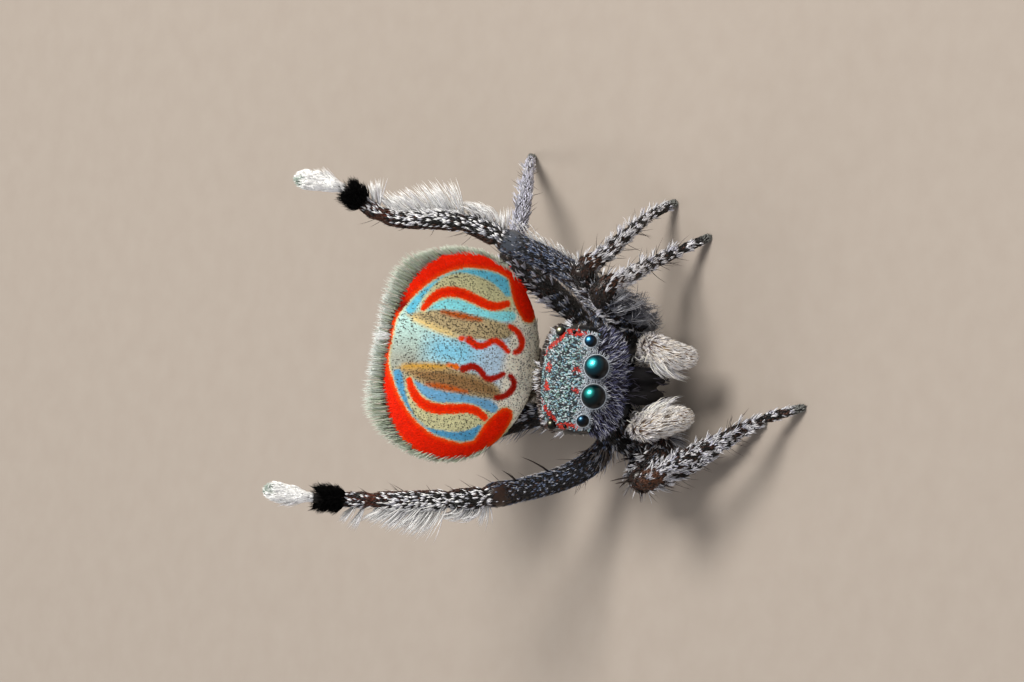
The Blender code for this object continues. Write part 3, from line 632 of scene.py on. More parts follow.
LEAF = ((0.40, 2.10, 0.04), (0.42, 1.90, 0.15), (0.43, 1.65, 0.28), (0.43, 1.40, 0.34), (0.42, 1.10, 0.34),
        (0.43, 0.85, 0.32), (0.46, 0.62, 0.24), (0.52, 0.48, 0.14))
STREAK = ((0.55, 1.62, 0.05), (0.545, 1.35, 0.09), (0.545, 1.00, 0.05))
GOLD_EDGE = ((0.36, 2.00, 0.08), (0.30, 1.74, 0.10), (0.255, 1.50, 0.10), (0.23, 1.32, 0.06))
DOT_TAIL = ((0.20, 1.38, 0.08), (0.205, 1.25, 0.10))
DOT = ((0.215, 1.26, 0.08), (0.22, 1.23, 0.08))
WAVE = ((0.22, 1.13, 0.12), (0.16, 0.99, 0.11), (0.19, 0.87, 0.10), (0.28, 0.75, 0.10), (0.27, 0.63, 0.10),
        (0.17, 0.48, 0.08))
HOOK = ((0.18, 0.36, 0.09), (0.26, 0.28, 0.10), (0.38, 0.29, 0.11), (0.49, 0.39, 0.10), (0.54, 0.52, 0.08))
PALE_EDGE = 0.034

SKY, PALE_SKY = linear("#97DCF2"), linear("#C2EAF0")
TIP_GREY, TIP_AQUA, TAN, OLIVE = linear("#B0B4A6"), linear("#CCEEE6"), linear("#FFF6E4"), linear("#DCD8A8")
LILAC_SKY = linear("#C8E0F0")
LEAF_BROWN, LEAF_DARK, STREAK_ORANGE = linear("#CCB88C"), linear("#94622C"), linear("#CE6222")
RING_RED, RING_ORANGE, RING_DARK = linear("#F32400"), linear("#FC5208"), linear("#8C0F04")
INNER_ORANGE, GOLD, CREAM = linear("#FA4606"), linear("#EFD694"), linear("#DED69C")
GOLD_DEEP = linear("#D8A84A")
ARC_LEFT, ARC_RIGHT = linear("#72D0E8"), linear("#5CA8D0")
BAND_LEFT, BAND_RIGHT = linear("#98ECF2"), linear("#78B4D8")
WAVE_RED, WAVE_DARK, RIM_OLIVE, SPECK = (linear(c) for c in ("#E4300C", "#B01C0C", "#7E8A62", "#241F18"))
DOT_ORANGE = linear("#F07414")


def smooth_path(rows, steps=6):
    """More rows on a smooth curve through the rows given."""
    rows = np.array(rows, dtype=float)
    places = np.arange(len(rows), dtype=float)
    dense = np.linspace(0, len(rows) - 1, steps * (len(rows) - 1) + 1)
    return flow(np.column_stack((places, rows)), dense)[:, 1:]


def inside(places, rows):
    """How many millimetres each place lies inside a mark; negative outside it."""
    best = np.full(len(places), -9.0)
    path = smooth_path(rows)
    for a, b in zip(path, path[1:]):
        run = b[:2] - a[:2]
        share = np.clip((places - a[:2]) @ run / max(run @ run, 1e-9), 0, 1)
        away = np.linalg.norm(places - a[:2] - share[:, None] * run, axis=1)
        best = np.maximum(best, (a[2] + (b[2] - a[2]) * share) / 2 - away)
    return best


def blend(first, second, share):
    """A mix of colours, with a share for each place."""
    share = np.clip(share, 0, 1)[:, None]
    return first * (1 - share) + second * share


def fan_paint(across, up):
    """Colour of each place on the fan's face, and the chance that a scale there is a dark speck."""
    across, up = np.asarray(across), np.asarray(up)
    left = (across > FAN_MIDDLE).astype(float)
    s = np.abs(across - FAN_MIDDLE)
    places = np.column_stack((s, up))
    colour = blend(SKY, PALE_SKY, (s - 0.05) / 0.2)
    colour = blend(colour, LILAC_SKY, (1.15 - up) / 0.35)
    speck = np.full(len(s), 0.13)
    top = (up - 1.55) / 0.35
    colour = blend(colour, blend(TIP_GREY, TIP_AQUA, (across + 0.15) / 0.5), top)
    olive = np.clip((s - 0.62) / 0.05, 0, 1)
    colour = blend(colour, OLIVE, olive)
    speck = speck * (1 - olive) + 0.17 * olive
    foot = np.clip((0.58 - up) / 0.14, 0, 1) * np.clip((0.95 - s) / 0.1, 0, 1)
    colour = blend(colour, TAN, foot)
    speck = speck * (1 - foot) + 0.20 * foot

    def put(rows, paint, chance, soft=0.012):
        nonlocal colour, speck
        depth = inside(places, rows)
        share = np.clip(depth / soft + 0.5, 0, 1)
        colour = blend(colour, paint, share)
        speck = speck * (1 - share) + chance * share
        return depth

    put(LIGHT_BAND, blend(BAND_RIGHT, BAND_LEFT, left), 0.05, 0.03)
    leaf = inside(places, LEAF)
    brown = blend(LEAF_BROWN, LEAF_DARK, (1 - left) * 0.75 * np.clip(leaf / 0.10, 0, 1))
    put(LEAF, brown, 0.30, 0.05)
    put(STREAK, STREAK_ORANGE, 0.14, 0.05)
    put(GOLD_EDGE, blend(GOLD_DEEP, GOLD, left), 0.08, 0.07)
    put(BLUE_ARC, blend(ARC_RIGHT, ARC_LEFT, left), 0.07, 0.03)
    # On the animal's left the ring ends a little nearer the head.
    lowered = np.column_stack((s, up + 0.05 * left * np.clip((1.1 - up) / 0.4, 0, 1)))
    for rows, core, edge in ((INNER_RED, RING_RED, INNER_ORANGE), (RING, RING_RED, RING_ORANGE)):
        depth = inside(lowered if rows is RING else places, rows)
        colour = blend(colour, CREAM, (depth + PALE_EDGE) / PALE_EDGE)
        speck = speck * np.clip(-depth / PALE_EDGE, 0, 1)
        colour = blend(colour, blend(edge, core, depth / 0.07), depth / 0.012 + 0.5)
    dark = np.exp(-((s * (2 * left - 1) - 0.52) / 0.13) ** 2) * (inside(places, RING) > 0) * (up > 1.8)
    colour = blend(colour, RING_DARK, dark)
    put(DOT, blend(DOT_ORANGE, INNER_ORANGE, left), 0.0, 0.03)
    colour = blend(colour, DOT_ORANGE, np.clip(inside(places, DOT_TAIL) / 0.03, 0, 1) * (1 - left))
    wave = blend(WAVE_DARK, WAVE_RED, left)
    put(WAVE, wave, 0.02, 0.025)
    put(HOOK, wave, 0.02, 0.025)
    outside = (fan_spread(across, up) > 0.93) & (inside(places, RING) < -0.01) & (up > 0.6)
    colour = blend(colour, blend(CREAM, RIM_OLIVE, -inside(places, RING) / 0.08), outside * 1.0)
    return colour, speck


# %% [markdown]
# The head is grey-blue on top with bars and spots of red near its rear edge, dark violet on the
# face, and bare shining black down its sides. These marks are set in the head's own frame.

# %% Marks of the head
HEAD_BARS = (
    # one end across and back, other end, width
    (0.71, 0.60, 0.655, 0.16, 0.07),
    (0.60, 0.61, 0.45, 0.86, 0.105),
    (0.37, 0.93, 0.35, 0.95, 0.06),
    (0.14, 0.74, 0.14, 0.78, 0.14),
    (0.15, 0.13, 0.15, 0.17, 0.075),
)
HEAD_RED, HEAD_RED_DARK = linear("#C8200E"), linear("#6E120C")
HEAD_GAP = linear("#20262B")
FACE_VIOLET, CUTICLE_BLACK, CUTICLE_BROWN = linear("#17121F"), linear("#060505"), linear("#2A1A12")


def head_marks(across, back):
    """How far each place on top of the head lies inside a red bar or spot, in millimetres."""
    places = np.column_stack((np.abs(across), back))
    best = np.full(len(places), -9.0)
    for a, b, c, d, wide in HEAD_BARS:
        run = np.array((c - a, d - b))
        share = np.clip((places - (a, b)) @ run / (run @ run), 0, 1)
        away = np.linalg.norm(places - (a, b) - share[:, None] * run, axis=1)
        best = np.maximum(best, wide / 2 - away)
    return best


def head_skin(points, normals):
    """Colour of the bare cuticle of head and thorax."""
    across, back, up = in_frame(points, HEAD_ORIGIN, HEAD_AXES).T
    above = normals @ HEAD_AXES[2]
    colour = blend(CUTICLE_BLACK, HEAD_GAP, (above - 0.5) / 0.3)
    colour = blend(colour, FACE_VIOLET, (0.04 - back) / 0.05)
    colour = blend(colour, CUTICLE_BROWN, (-up - 0.42) / 0.1)
    return blend(colour, HEAD_RED_DARK, (head_marks(across, back) / 0.02) * (above > 0.4))


# %% [markdown]
# The legs are dark brown under their coat. The skin shows at the bare, shining knees, and the third
# legs have a red-brown foot joint below the black band.

# %% Colours of leg, palp and belly skin
LEG_DARK, KNEE_BROWN, FOOT_JOINT_BROWN = linear("#12100F"), linear("#2E1B11"), linear("#5A2718")
PATELLA_ORANGE = linear("#4E3020")
# MOUTH_DARK is the jaws' own dark chitin, deepened to near black as painted shade where they sit under the head; the
# palps start from it at their base.
PALP_SKIN, BELLY_BROWN, UNDER_GREY, MOUTH_DARK = (linear(c) for c in ("#A88664", "#4E4232", "#2E2A2A", "#0B090C"))
PALP_BAND = linear("#C9B48E")
KNEE_GREY = linear("#4E545E")
KNEE_REACH = 0.13


def leg_skin(name, points):
    """Colour of a leg's cuticle along its path."""
    t, angle = limbs[name].place_of(points)
    colour = np.tile(LEG_DARK, (len(points), 1))
    knee = np.exp(-((t - KNEE) / KNEE_REACH) ** 2)
    tone = KNEE_GREY if name == "leg_3_left" else KNEE_BROWN
    colour = blend(colour, tone, knee * (0.85 if name.startswith("leg_3") else 0.2))
    if name.startswith("leg_3"):
        return blend(colour, FOOT_JOINT_BROWN, np.exp(-((t - 5.1) / 0.3) ** 2))
    return blend(colour, PATELLA_ORANGE, np.exp(-((t - 3.55) / 0.35) ** 2))


def skin_paint(points, normals, regions):
    """Colour of every point of the skin."""
    colour = np.tile(UNDER_GREY, (len(points), 1))
    for number, region in enumerate(REGIONS):
        mine = np.flatnonzero(regions == number)
        if not len(mine):
            continue
        if region == "head":
            colour[mine] = head_skin(points[mine], normals[mine])
        elif region == "fan":
            across, up, _ = in_frame(points[mine], FAN_ORIGIN, FAN_AXES).T
            front = normals[mine] @ FAN_OUT
            painted = fan_paint(across, up)[0] * 0.8
            colour[mine] = blend(np.tile(BELLY_BROWN, (len(mine), 1)), painted, front / 0.1)
        elif region.startswith("leg"):
            colour[mine] = leg_skin(region, points[mine])
        elif region.startswith("palp"):
            t, _ = limbs[region].place_of(points[mine])
            colour[mine] = blend(np.tile(MOUTH_DARK, (len(mine), 1)), PALP_SKIN * 0.7, (t - 1.4) / 0.6)
            colour[mine] = blend(colour[mine], PALP_BAND, np.exp(-((t - 2.9) / 0.2) ** 2))
        elif region == "mouth":
            # Painted shade: the jaws' dark chitin is painted near black, as the shade under the head.
            colour[mine] = MOUTH_DARK
        elif region in ("belly", "spinnerets", "waist"):
            colour[mine] = BELLY_BROWN
    return colour


skin_tint = skin_paint(skin_points, skin_normals, skin_regions)
print("skin painted in", len(set(skin_regions.tolist())), "regions")

# %% [markdown]
# Spider skin is chitin: a hard, thin shell with a fine net of ridges and an oily shine where it is
# bare. Its colour comes from the tint that was just worked out, and noise at two sizes makes it
# uneven. The fan's face is a softer, matt skin under its scales.

# %% Chitin and scale-bed finishes, and the skin piece
def tinted(name, settings, mottle_mm, mottle_share, relief_mm, relief_depth):
    """A finish whose colour is the piece's tint, mottled and in low relief at real sizes."""
    material, tree, shader = principled(name, settings)
    place = add_node(tree, "ShaderNodeTexCoord")
    tint = add_node(tree, "ShaderNodeAttribute", {"attribute_name": "tint"})
    mottle = add_node(tree, "ShaderNodeTexNoise", {"Scale": per_mm(mottle_mm), "Detail": 3.0},
                      {"Vector": place.outputs["Object"]})
    span = add_node(tree, "ShaderNodeMapRange", {"To Min": 1 - mottle_share, "To Max": 1 + mottle_share},
                    {"Value": mottle.outputs["Fac"]})
    span.inputs["From Min"].default_value = 0.3
    span.inputs["From Max"].default_value = 0.7
    shade = add_node(tree, "ShaderNodeVectorMath", {"operation": "SCALE"},
                     {"Vector": tint.outputs["Color"], "Scale": span.outputs["Result"]})
    tree.links.new(shade.outputs["Vector"], shader.inputs["Base Color"])
    if relief_depth:
        relief = add_node(tree, "ShaderNodeTexNoise", {"Scale": per_mm(relief_mm), "Detail": 2.0},
                          {"Vector": place.outputs["Object"]})
        bump = add_node(tree, "ShaderNodeBump", {"Strength": 0.6, "Distance": relief_depth * MM},
                        {"Height": relief.outputs["Fac"]})
        tree.links.new(bump.outputs["Normal"], shader.inputs["Normal"])
    return material


# Chitin's index is about 1.56; bare shell has an oily gloss over a grain of about 0.02 mm.
chitin = tinted("bare_chitin", {"Roughness": 0.30, "IOR": 1.56, "Specular IOR Level": 0.35, "Coat Weight": 0.15,
                                  "Coat Roughness": 0.15},
                0.08, 0.3, 0.02, 0.004)
# The scale bed is softer and matt: it shows only between the scales.
scale_bed = tinted("matt_scale_bed", {"Roughness": 0.75, "IOR": 1.5}, 0.05, 0.15, 0.03, 0.005)
# The belly's skin stretches, so it is leathery, with shallow creases.
soft_hide = tinted("soft_belly_hide", {"Roughness": 0.7, "IOR": 1.45}, 0.12, 0.25, 0.06, 0.012)
# The face and the jaws are a finely grained shell with hardly any gloss.
matt_face = tinted("matt_face_shell", {"Roughness": 0.65, "IOR": 1.5, "Specular IOR Level": 0.3}, 0.06, 0.35, 0.02, 0.006)
FACE_DEPTH = 0.16

skin_mesh = bpy.data.meshes.new("spider_skin")
skin_bm.transform(Matrix.Scale(MM, 4))
skin_bm.to_mesh(skin_mesh)
skin_bm.free()
for material in (chitin, scale_bed, soft_hide, matt_face):
    skin_mesh.materials.append(material)
slot_of_region = np.array([1 if r == "fan" else 2 if r in ("belly", "spinnerets", "waist") else 0
                           for r in REGIONS])
face_slots = slot_of_region[face_regions]
face_back = in_frame(skin_points[skin_faces[:, 0]], HEAD_ORIGIN, HEAD_AXES)[:, 1]
face_slots[(face_regions == REGIONS.index("head")) & (face_back < FACE_DEPTH)] = 3
face_slots[face_regions == REGIONS.index("mouth")] = 3
skin_mesh.polygons.foreach_set("material_index", face_slots.astype(np.int32))
skin_mesh.polygons.foreach_set("use_smooth", np.ones(len(skin_faces), dtype=bool))
layer = skin_mesh.color_attributes.new("tint", "FLOAT_COLOR", "POINT")
layer.data.foreach_set("color", np.column_stack((skin_tint, np.ones(len(skin_tint)))).astype(np.float32).ravel())
skin = bpy.data.objects.new("spider_skin", skin_mesh)
bpy.context.scene.collection.objects.link(skin)
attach(skin, "root")
flesh_nodes = [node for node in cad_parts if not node.startswith("eye_")]
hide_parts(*flesh_nodes)
print("one skin stands for", len(flesh_nodes), "nodes")

# %% [markdown]
# A jumping spider's eight eyes are lenses of clear chitin over a dark, coloured depth. The two big
# front ones shine teal at the top, where they catch the light, and go to near black below. Each is
# a fine sphere whose tint holds that light as painted light: a painted highlight on the side that
# faces the key light, the eye's own dark colour between, and painted shade to near black away from
# it, under a coat with a sharp gloss. A thin pale rim ties each lens to the head.

# %% Eyes
EYES = {
    # across, back and up in the head frame, radius, then colours: painted highlight towards the light,
    #     # the eye's own middle colour, painted shade below
    "eye_front_middle": ((0.2175, -0.049, 0.025), 0.185, "#38CAD2", "#053C4A", "#01040A"),
    "eye_front_side": ((0.588, 0.045, 0.113), 0.097, "#3C93C4", "#062C46", "#010408"),
    "eye_rear_middle": ((0.70, 0.42, 0.200), 0.030, "#15181C", "#08090B", "#08090B"),
    # The cream of the rear side eyes towards the light is a painted glint.
    "eye_rear_side": ((0.695, 0.73, 0.262), 0.08, "#B9B79A", "#3A4038", "#0C0D0D"),
}
# The direction in which an eye shows the key's highlight; the lens tint is painted lightest there.
LIGHT_SIDE = unit(0.85 * towards_camera - 0.40 * picture_right + 0.36 * picture_up)
RIM_THICKNESS = 0.011
RIM_LIFT = 0.04

# The lens is hard, clear chitin over a mirror layer: strong coloured reflection, then a clear coat.
lens_finish, lens_tree, lens_shader = principled("clear_lens_teal_and_painted_highlight", {
    "Roughness": 0.30, "Metallic": 0.6, "Specular IOR Level": 0.3, "Coat Weight": 0.45,
    "Coat Roughness": 0.05, "Coat IOR": 1.4})
# Its base colour is the lens tint, with the painted highlight and painted shade in it.
lens_tint = add_node(lens_tree, "ShaderNodeAttribute", {"attribute_name": "tint"})
lens_tree.links.new(lens_tint.outputs["Color"], lens_shader.inputs["Base Color"])
# Rims are thin pale cuticle, dull and slightly blue.
rim_finish = tinted("pale_eye_rim", {"Roughness": 0.5, "IOR": 1.5}, 0.03, 0.25, 0.02, 0.002)


def put_tint(mesh, colours):
    """Writes one colour for each vertex."""
    layer = mesh.color_attributes.new("tint", "FLOAT_COLOR", "POINT")
    layer.data.foreach_set("color", np.column_stack((colours, np.ones(len(colours)))).astype(np.float32).ravel())


def piece_from(name, bm, material, colours=None):
    """Turns a finished bmesh in millimetres into a piece that rides on the body."""
    bmesh.ops.recalc_face_normals(bm, faces=bm.faces)
    bmesh.ops.triangulate(bm, faces=bm.faces)
    bm.transform(Matrix.Scale(MM, 4))
    mesh = bpy.data.meshes.new(name)
    bm.to_mesh(mesh)
    bm.free()
    mesh.materials.append(material)
    mesh.polygons.foreach_set("use_smooth", np.ones(len(mesh.polygons), dtype=bool))
    if colours is not None:
        put_tint(mesh, colours)
    piece = bpy.data.objects.new(name, mesh)
    bpy.context.scene.collection.objects.link(piece)
    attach(piece, "root")
    return piece


def eye_facing(name, sign):
    """Which way the ring round an eye looks."""
    if name == "eye_front_middle":
        return unit(np.array((0.0, -0.82, 0.58)))
    return unit(np.array((sign * 0.3, -0.8, 0.55)) if name == "eye_front_side" else np.array((sign, 0.35, 0.6)))


each_eye = []
for name, ((across, back, up), radius, bright, middle, deep) in EYES.items():
    for side, sign in (("left", 1), ("right", -1)):
        centre = head_point(sign * across, back, up)
        each_eye.append((centre, radius, sign, name))
        bm = bmesh.new()
        bmesh.ops.create_uvsphere(bm, u_segments=56, v_segments=40, radius=radius,
                                  matrix=Matrix.Translation(Vector(centre)))
        away = unit(np.array([vert.co for vert in bm.verts]) - centre)
        # Painted light: painted shade near black, through the eye's own middle colour, to a painted highlight towards
        # LIGHT_SIDE.
        lit = (away @ LIGHT_SIDE + 1) / 2
        tint = blend(linear(deep), linear(middle), (lit - 0.72) / 0.20)
        tint = blend(tint, linear(bright), (lit - 0.935) / 0.06)
        # Painted shade: the animal's right eyes are turned farther from the light, so their tint is painted darker,
        # the front middle ones a little greener.
        tint = tint * ((1, 1, 1) if sign > 0 else (0.30, 0.50, 0.42) if name == "eye_front_middle" else (0.25,) * 3)
        eye = piece_from(name + "_" + side + "_lens", bm, lens_finish, tint)
        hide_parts(name + "_" + side)

rims = bmesh.new()
for centre, radius, sign, name in each_eye:
    if name.startswith("eye_rear"):
        continue
    normal = Vector(eye_facing(name, sign))
    start = Vector(centre) + normal * radius * RIM_LIFT + normal.orthogonal().normalized() * radius
    ring = bmesh.ops.create_circle(rims, segments=6, radius=RIM_THICKNESS)["verts"]
    side_axis = normal.orthogonal().normalized()
    cross = Matrix((side_axis, normal, side_axis.cross(normal))).transposed().to_4x4()
    bmesh.ops.transform(rims, matrix=Matrix.Translation(start) @ cross, verts=ring)
    edges = list({edge for vert in ring for edge in vert.link_edges})
    bmesh.ops.spin(rims, geom=ring + edges, cent=Vector(centre), axis=normal, dvec=(0, 0, 0),
                   angle=2 * math.pi, steps=48, use_merge=True)
count = len(rims.verts)
rims_piece = piece_from("eye_rims", rims, rim_finish, np.tile(linear("#B8C2CA"), (count, 1)))
print(len(each_eye), "eyes;", len(rims_piece.data.vertices), "points in their rims")

# %% [markdown]
# The coat is the bulk of the work. Particle hair would be lost on export, so every scale and hair is
# a small closed mesh. One shape is made once with bmesh, then copied to thousands of roots in one
# sweep of array arithmetic: along the lie of the coat, raised off the skin by its own angle and
# bent back down. Each copy also carries a small patch of texture space at its root's place on the
# unrolled skin, so a bake can keep its colour.

# %% Tuft shapes
Shape = namedtuple("Shape", "points faces")
Grown = namedtuple("Grown", "points faces colours patches")
PATCH = 0.003


def tuft_shape(heights, widths, sides=3):
    """A closed slim spindle: across, thickness and height of its points, and its triangles."""
    bm = bmesh.new()
    bmesh.ops.create_cone(bm, cap_ends=True, cap_tris=False, segments=sides, radius1=1.0, radius2=1.0,
                          depth=1.0, matrix=Matrix.Translation((0, 0, 0.5)))
    for height in heights[1:-1]:
        bmesh.ops.bisect_plane(bm, geom=bm.verts[:] + bm.edges[:] + bm.faces[:], dist=1e-6,
                               plane_co=(0, 0, height), plane_no=(0, 0, 1))
    for vert in bm.verts:
        wide = np.interp(vert.co.z, heights, widths)
        vert.co.x *= wide
        vert.co.y *= wide
    bmesh.ops.remove_doubles(bm, verts=bm.verts, dist=1e-4)
    bmesh.ops.recalc_face_normals(bm, faces=bm.faces)
    bmesh.ops.triangulate(bm, faces=bm.faces)
    bm.verts.index_update()
    shape = Shape(np.array([vert.co for vert in bm.verts]),
                  np.array([[vert.index for vert in face.verts] for face in bm.faces]))
    bm.free()
    return shape


SCALE = tuft_shape((0.0, 0.45, 1.0), (0.0, 1.0, 0.0))
BLADE = tuft_shape((0.0, 0.3, 0.7, 1.0), (0.5, 1.0, 0.8, 0.0))
HAIR = tuft_shape((0.0, 0.25, 0.5, 0.75, 1.0), (0.8, 1.0, 0.85, 0.55, 0.0))
for label_of_shape, shape in (("scale", SCALE), ("blade", BLADE), ("hair", HAIR)):
    print(label_of_shape, "has", len(shape.faces), "triangles")


def grow(shape, roots, out, lie, length, width, rise, root_tint, tip_tint, patches,
         thick=0.5, curl=0.0, sway=0.0):
    """Copies a shape to every root. rise is its angle off the skin in degrees, curl bends it down."""
    count = len(roots)
    column = [np.broadcast_to(np.asarray(v, dtype=float), (count,))[:, None]
              for v in (length, width, np.radians(rise), thick, curl, sway)]
    length, width, rise, thick, curl, sway = column
    out = unit(out)
    lie = unit(lie - out * (lie * out).sum(axis=1, keepdims=True))
    side = np.cross(lie, out)
    across, up, along = shape.points.T
    lean = rise * (1 - curl * along / 2)
    local = rise * (1 - curl * along)
    reach = length * along
    points = (roots[:, None]
              + (reach * np.cos(lean) - width / 2 * thick * up * np.sin(local))[..., None] * lie[:, None]
              + (reach * np.sin(lean) + width / 2 * thick * up * np.cos(local))[..., None] * out[:, None]
              + (width / 2 * across + sway * reach * along)[..., None] * side[:, None])
    points[..., 2] = np.maximum(points[..., 2], 0.002)
    faces = shape.faces[None] + np.arange(count)[:, None, None] * len(along)
    fade = along[None, :, None]
    colours = root_tint[:, None] * (1 - fade) + tip_tint[:, None] * fade
    spots = patches[:, None] + np.stack((across, along - 0.5), axis=1)[None] * PATCH / 2
    return Grown(points.reshape(-1, 3), faces.reshape(-1, 3), colours.reshape(-1, 3), spots.reshape(-1, 2))


def coat_piece(name, grown, material, smooth=True):
    """Joins grown tufts into one piece with its tint and its bake map."""
    starts = np.cumsum([0] + [len(g.points) for g in grown])
    points = np.concatenate([g.points for g in grown]) * MM
    faces = np.concatenate([g.faces + s for g, s in zip(grown, starts)]).astype(np.int32)
    mesh = bpy.data.meshes.new(name)
    mesh.vertices.add(len(points))
    mesh.vertices.foreach_set("co", points.astype(np.float32).ravel())
    mesh.loops.add(len(faces) * 3)
    mesh.loops.foreach_set("vertex_index", faces.ravel())
    mesh.polygons.add(len(faces))
    mesh.polygons.foreach_set("loop_start", np.arange(0, len(faces) * 3, 3, dtype=np.int32))
    mesh.polygons.foreach_set("use_smooth", np.full(len(faces), smooth))
    mesh.update(calc_edges=True)
    put_tint(mesh, np.concatenate([g.colours for g in grown]))
    spots = np.concatenate([g.patches for g in grown])[faces.ravel()]
    uv = mesh.uv_layers.new(name="OFBake")
    uv.uv.foreach_set("vector", spots.astype(np.float32).ravel())
    mesh.materials.append(material)
    piece = bpy.data.objects.new(name, mesh)
    bpy.context.scene.collection.objects.link(piece)
    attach(piece, "root")
    print(name, "has", len(faces), "triangles")
    return piece


# %% [markdown]
# Roots are spread over the skin itself: random points on the chosen faces, one kept in each small
# cell, which leaves no bald spots and no heaps. A draw of its own seed for each call keeps the coat
# the same on every run.

# %% Spreading roots over the skin
def scatter(wanted, spacing, seed):
    """Even roots on the wanted faces: their places, skin normals and regions."""
    draw = np.random.default_rng(SEED + seed)
    chosen = np.flatnonzero(wanted)
    share = face_areas[chosen]
    count = int(share.sum() / spacing**2 * 4)
    picked = draw.choice(chosen, count, p=share / share.sum())
    a, b = draw.random((2, count))
    flip = a + b > 1
    a, b = np.where(flip, 1 - a, a), np.where(flip, 1 - b, b)
    weights = np.stack((1 - a - b, a, b), axis=1)[..., None]
    places = (skin_points[skin_faces[picked]] * weights).sum(axis=1)
    normals = unit((skin_normals[skin_faces[picked]] * weights).sum(axis=1))
    _, first = np.unique(np.floor(places / spacing).astype(int), axis=0, return_index=True)
    return places[first], normals[first], face_regions[picked[first]]


def of_region(*names):
    """Faces of the skin that belong to these regions."""
    return np.isin(face_regions, [REGIONS.index(name) for name in names])


def jitter(draw, colours, share):
    """Colours a little lighter or darker, each its own way."""
    return np.clip(colours * draw.uniform(1 - share, 1 + share, (len(colours), 1)), 0, 1)


def pick(draw, count, choices):
    """One colour for each tuft from a list of (colour, share)."""
    shares = np.array([share for _, share in choices])
    table = np.array([colour for colour, _ in choices])
    return table[draw.choice(len(choices), count, p=shares / shares.sum())]


# %% [markdown]
# Scales are flat plates of chitin, matt with a faint silky glint. Hairs are round and a little
# glossier, white ones because they are hollow and scatter all light.

# %% Scale and hair finishes
# Fan scales: thin plates whose ridges give colour, with a soft sheen and no mirror glint.
fan_scale_finish = tinted("fan_scales", {"Roughness": 0.6, "IOR": 1.5, "Specular IOR Level": 0.1}, 0.10, 0.08,
                          0.02, 0.0)
# Body scales: pale plates with a harder glint.
body_scale_finish = tinted("body_scales", {"Roughness": 0.45, "IOR": 1.56}, 0.10, 0.12, 0.02, 0.0)
# Hair: solid chitin threads, satin.
hair_finish = tinted("satin_hair", {"Roughness": 0.5, "IOR": 1.55}, 0.15, 0.10, 0.02, 0.0)

# %% [markdown]
# The fan's face carries the picture in scales about 0.04 mm long that lie towards the tip, each
# one colour, with dark ones strewn among them as specks.

# %% Scales on the fan
FAN_SPACING = 0.0152
SPECK_SPACING = 0.021
draw = np.random.default_rng(SEED + 1)


def fan_roots(spacing, seed):
    """Roots on the painted face of the fan, with their normals and places in its frame."""
    roots, out, _ = scatter(of_region("fan"), spacing, seed)
    across, up, _ = in_frame(roots, FAN_ORIGIN, FAN_AXES).T
    face = out @ FAN_OUT > 0.05
    return roots[face], out[face], across[face], up[face]


roots, out, across, up = fan_roots(FAN_SPACING, 1)
colour, _ = fan_paint(across, up)
colour = jitter(draw, colour, 0.16)
lie = FAN_UP + FAN_SIDE * (across * 0.35 + draw.normal(0, 0.4, len(roots)))[:, None]
patches = np.column_stack((across / 3.4 + 0.5, up / 2.8 + 0.05))
fan_scales = [grow(SCALE, roots, out, lie, draw.uniform(0.034, 0.046, len(roots)),
                   draw.uniform(0.022, 0.029, len(roots)), draw.uniform(6, 16, len(roots)), colour * 0.88,
                   colour, patches, thick=0.35)]
coat_piece("fan_scales", fan_scales, fan_scale_finish, smooth=False)

roots, out, across, up = fan_roots(SPECK_SPACING, 6)
_, speck = fan_paint(across, up)
dark = draw.random(len(roots)) < speck * 1.5
roots, out, across, up = roots[dark], out[dark], across[dark], up[dark]
count = len(roots)
tone = SPECK * draw.uniform(0.5, 5.0, (count, 1))
lie = FAN_UP + FAN_SIDE * draw.normal(0, 0.8, count)[:, None]
specks = [grow(SCALE, roots + out * 0.006, out, lie, draw.uniform(0.022, 0.034, count),
               draw.uniform(0.015, 0.023, count), draw.uniform(8, 20, count), tone, tone,
               np.column_stack((across / 3.4 + 0.5, up / 2.8 + 0.05)), thick=0.5)]
coat_piece("fan_specks", specks, fan_scale_finish, smooth=False)

# %% [markdown]
# Round the rim stands a fringe of fine pale setae, greenish at the root, short down the sides and
# long at the two upper corners. The fan's hidden back has plain grey-brown hair.

# %% Fringe and back of the fan
FRINGE_COUNT = 1600
FRINGE_START, FRINGE_END = -38.0, 218.0
FRINGE_SIDE, FRINGE_CORNER, FRINGE_TOP = 0.13, 0.34, 0.22

draw = np.random.default_rng(SEED + 2)
degrees = draw.uniform(FRINGE_START, FRINGE_END, FRINGE_COUNT)
angle = np.radians(degrees)
cosine, sine = np.cos(angle), np.sin(angle)
power = np.where(sine > 0, FAN_SQUARENESS, FAN_SQUARENESS_FRONT)
reach = (np.abs(cosine) ** power + np.abs(sine) ** power) ** (-1 / power)
corner_share = np.exp(-((np.abs(degrees - 90) - 38) / 22) ** 2)
top_share = np.exp(-((degrees - 90) / 30) ** 2)
long = (FRINGE_SIDE + (FRINGE_CORNER - FRINGE_SIDE) * corner_share
        + (FRINGE_TOP - FRINGE_SIDE) * top_share * (1 - corner_share))
sink = draw.uniform(0.92, 0.985, FRINGE_COUNT)
depth = FAN_DOME - FAN_THICKNESS / 2 - 0.05 + draw.uniform(-0.09, 0.03, FRINGE_COUNT)
half_up = np.where(sine > 0, FAN_HALF[1], FAN_HALF_FRONT)
roots = fan_point(FAN_CENTRE[0] + FAN_HALF[0] * cosine * reach * sink,
                  FAN_CENTRE[1] + half_up * sine * reach * sink, depth)
lie = (FAN_SIDE * (cosine * 0.75)[:, None] + FAN_UP * (sine + 0.95)[:, None]
       + FAN_SIDE * draw.normal(0, 0.10, FRINGE_COUNT)[:, None])
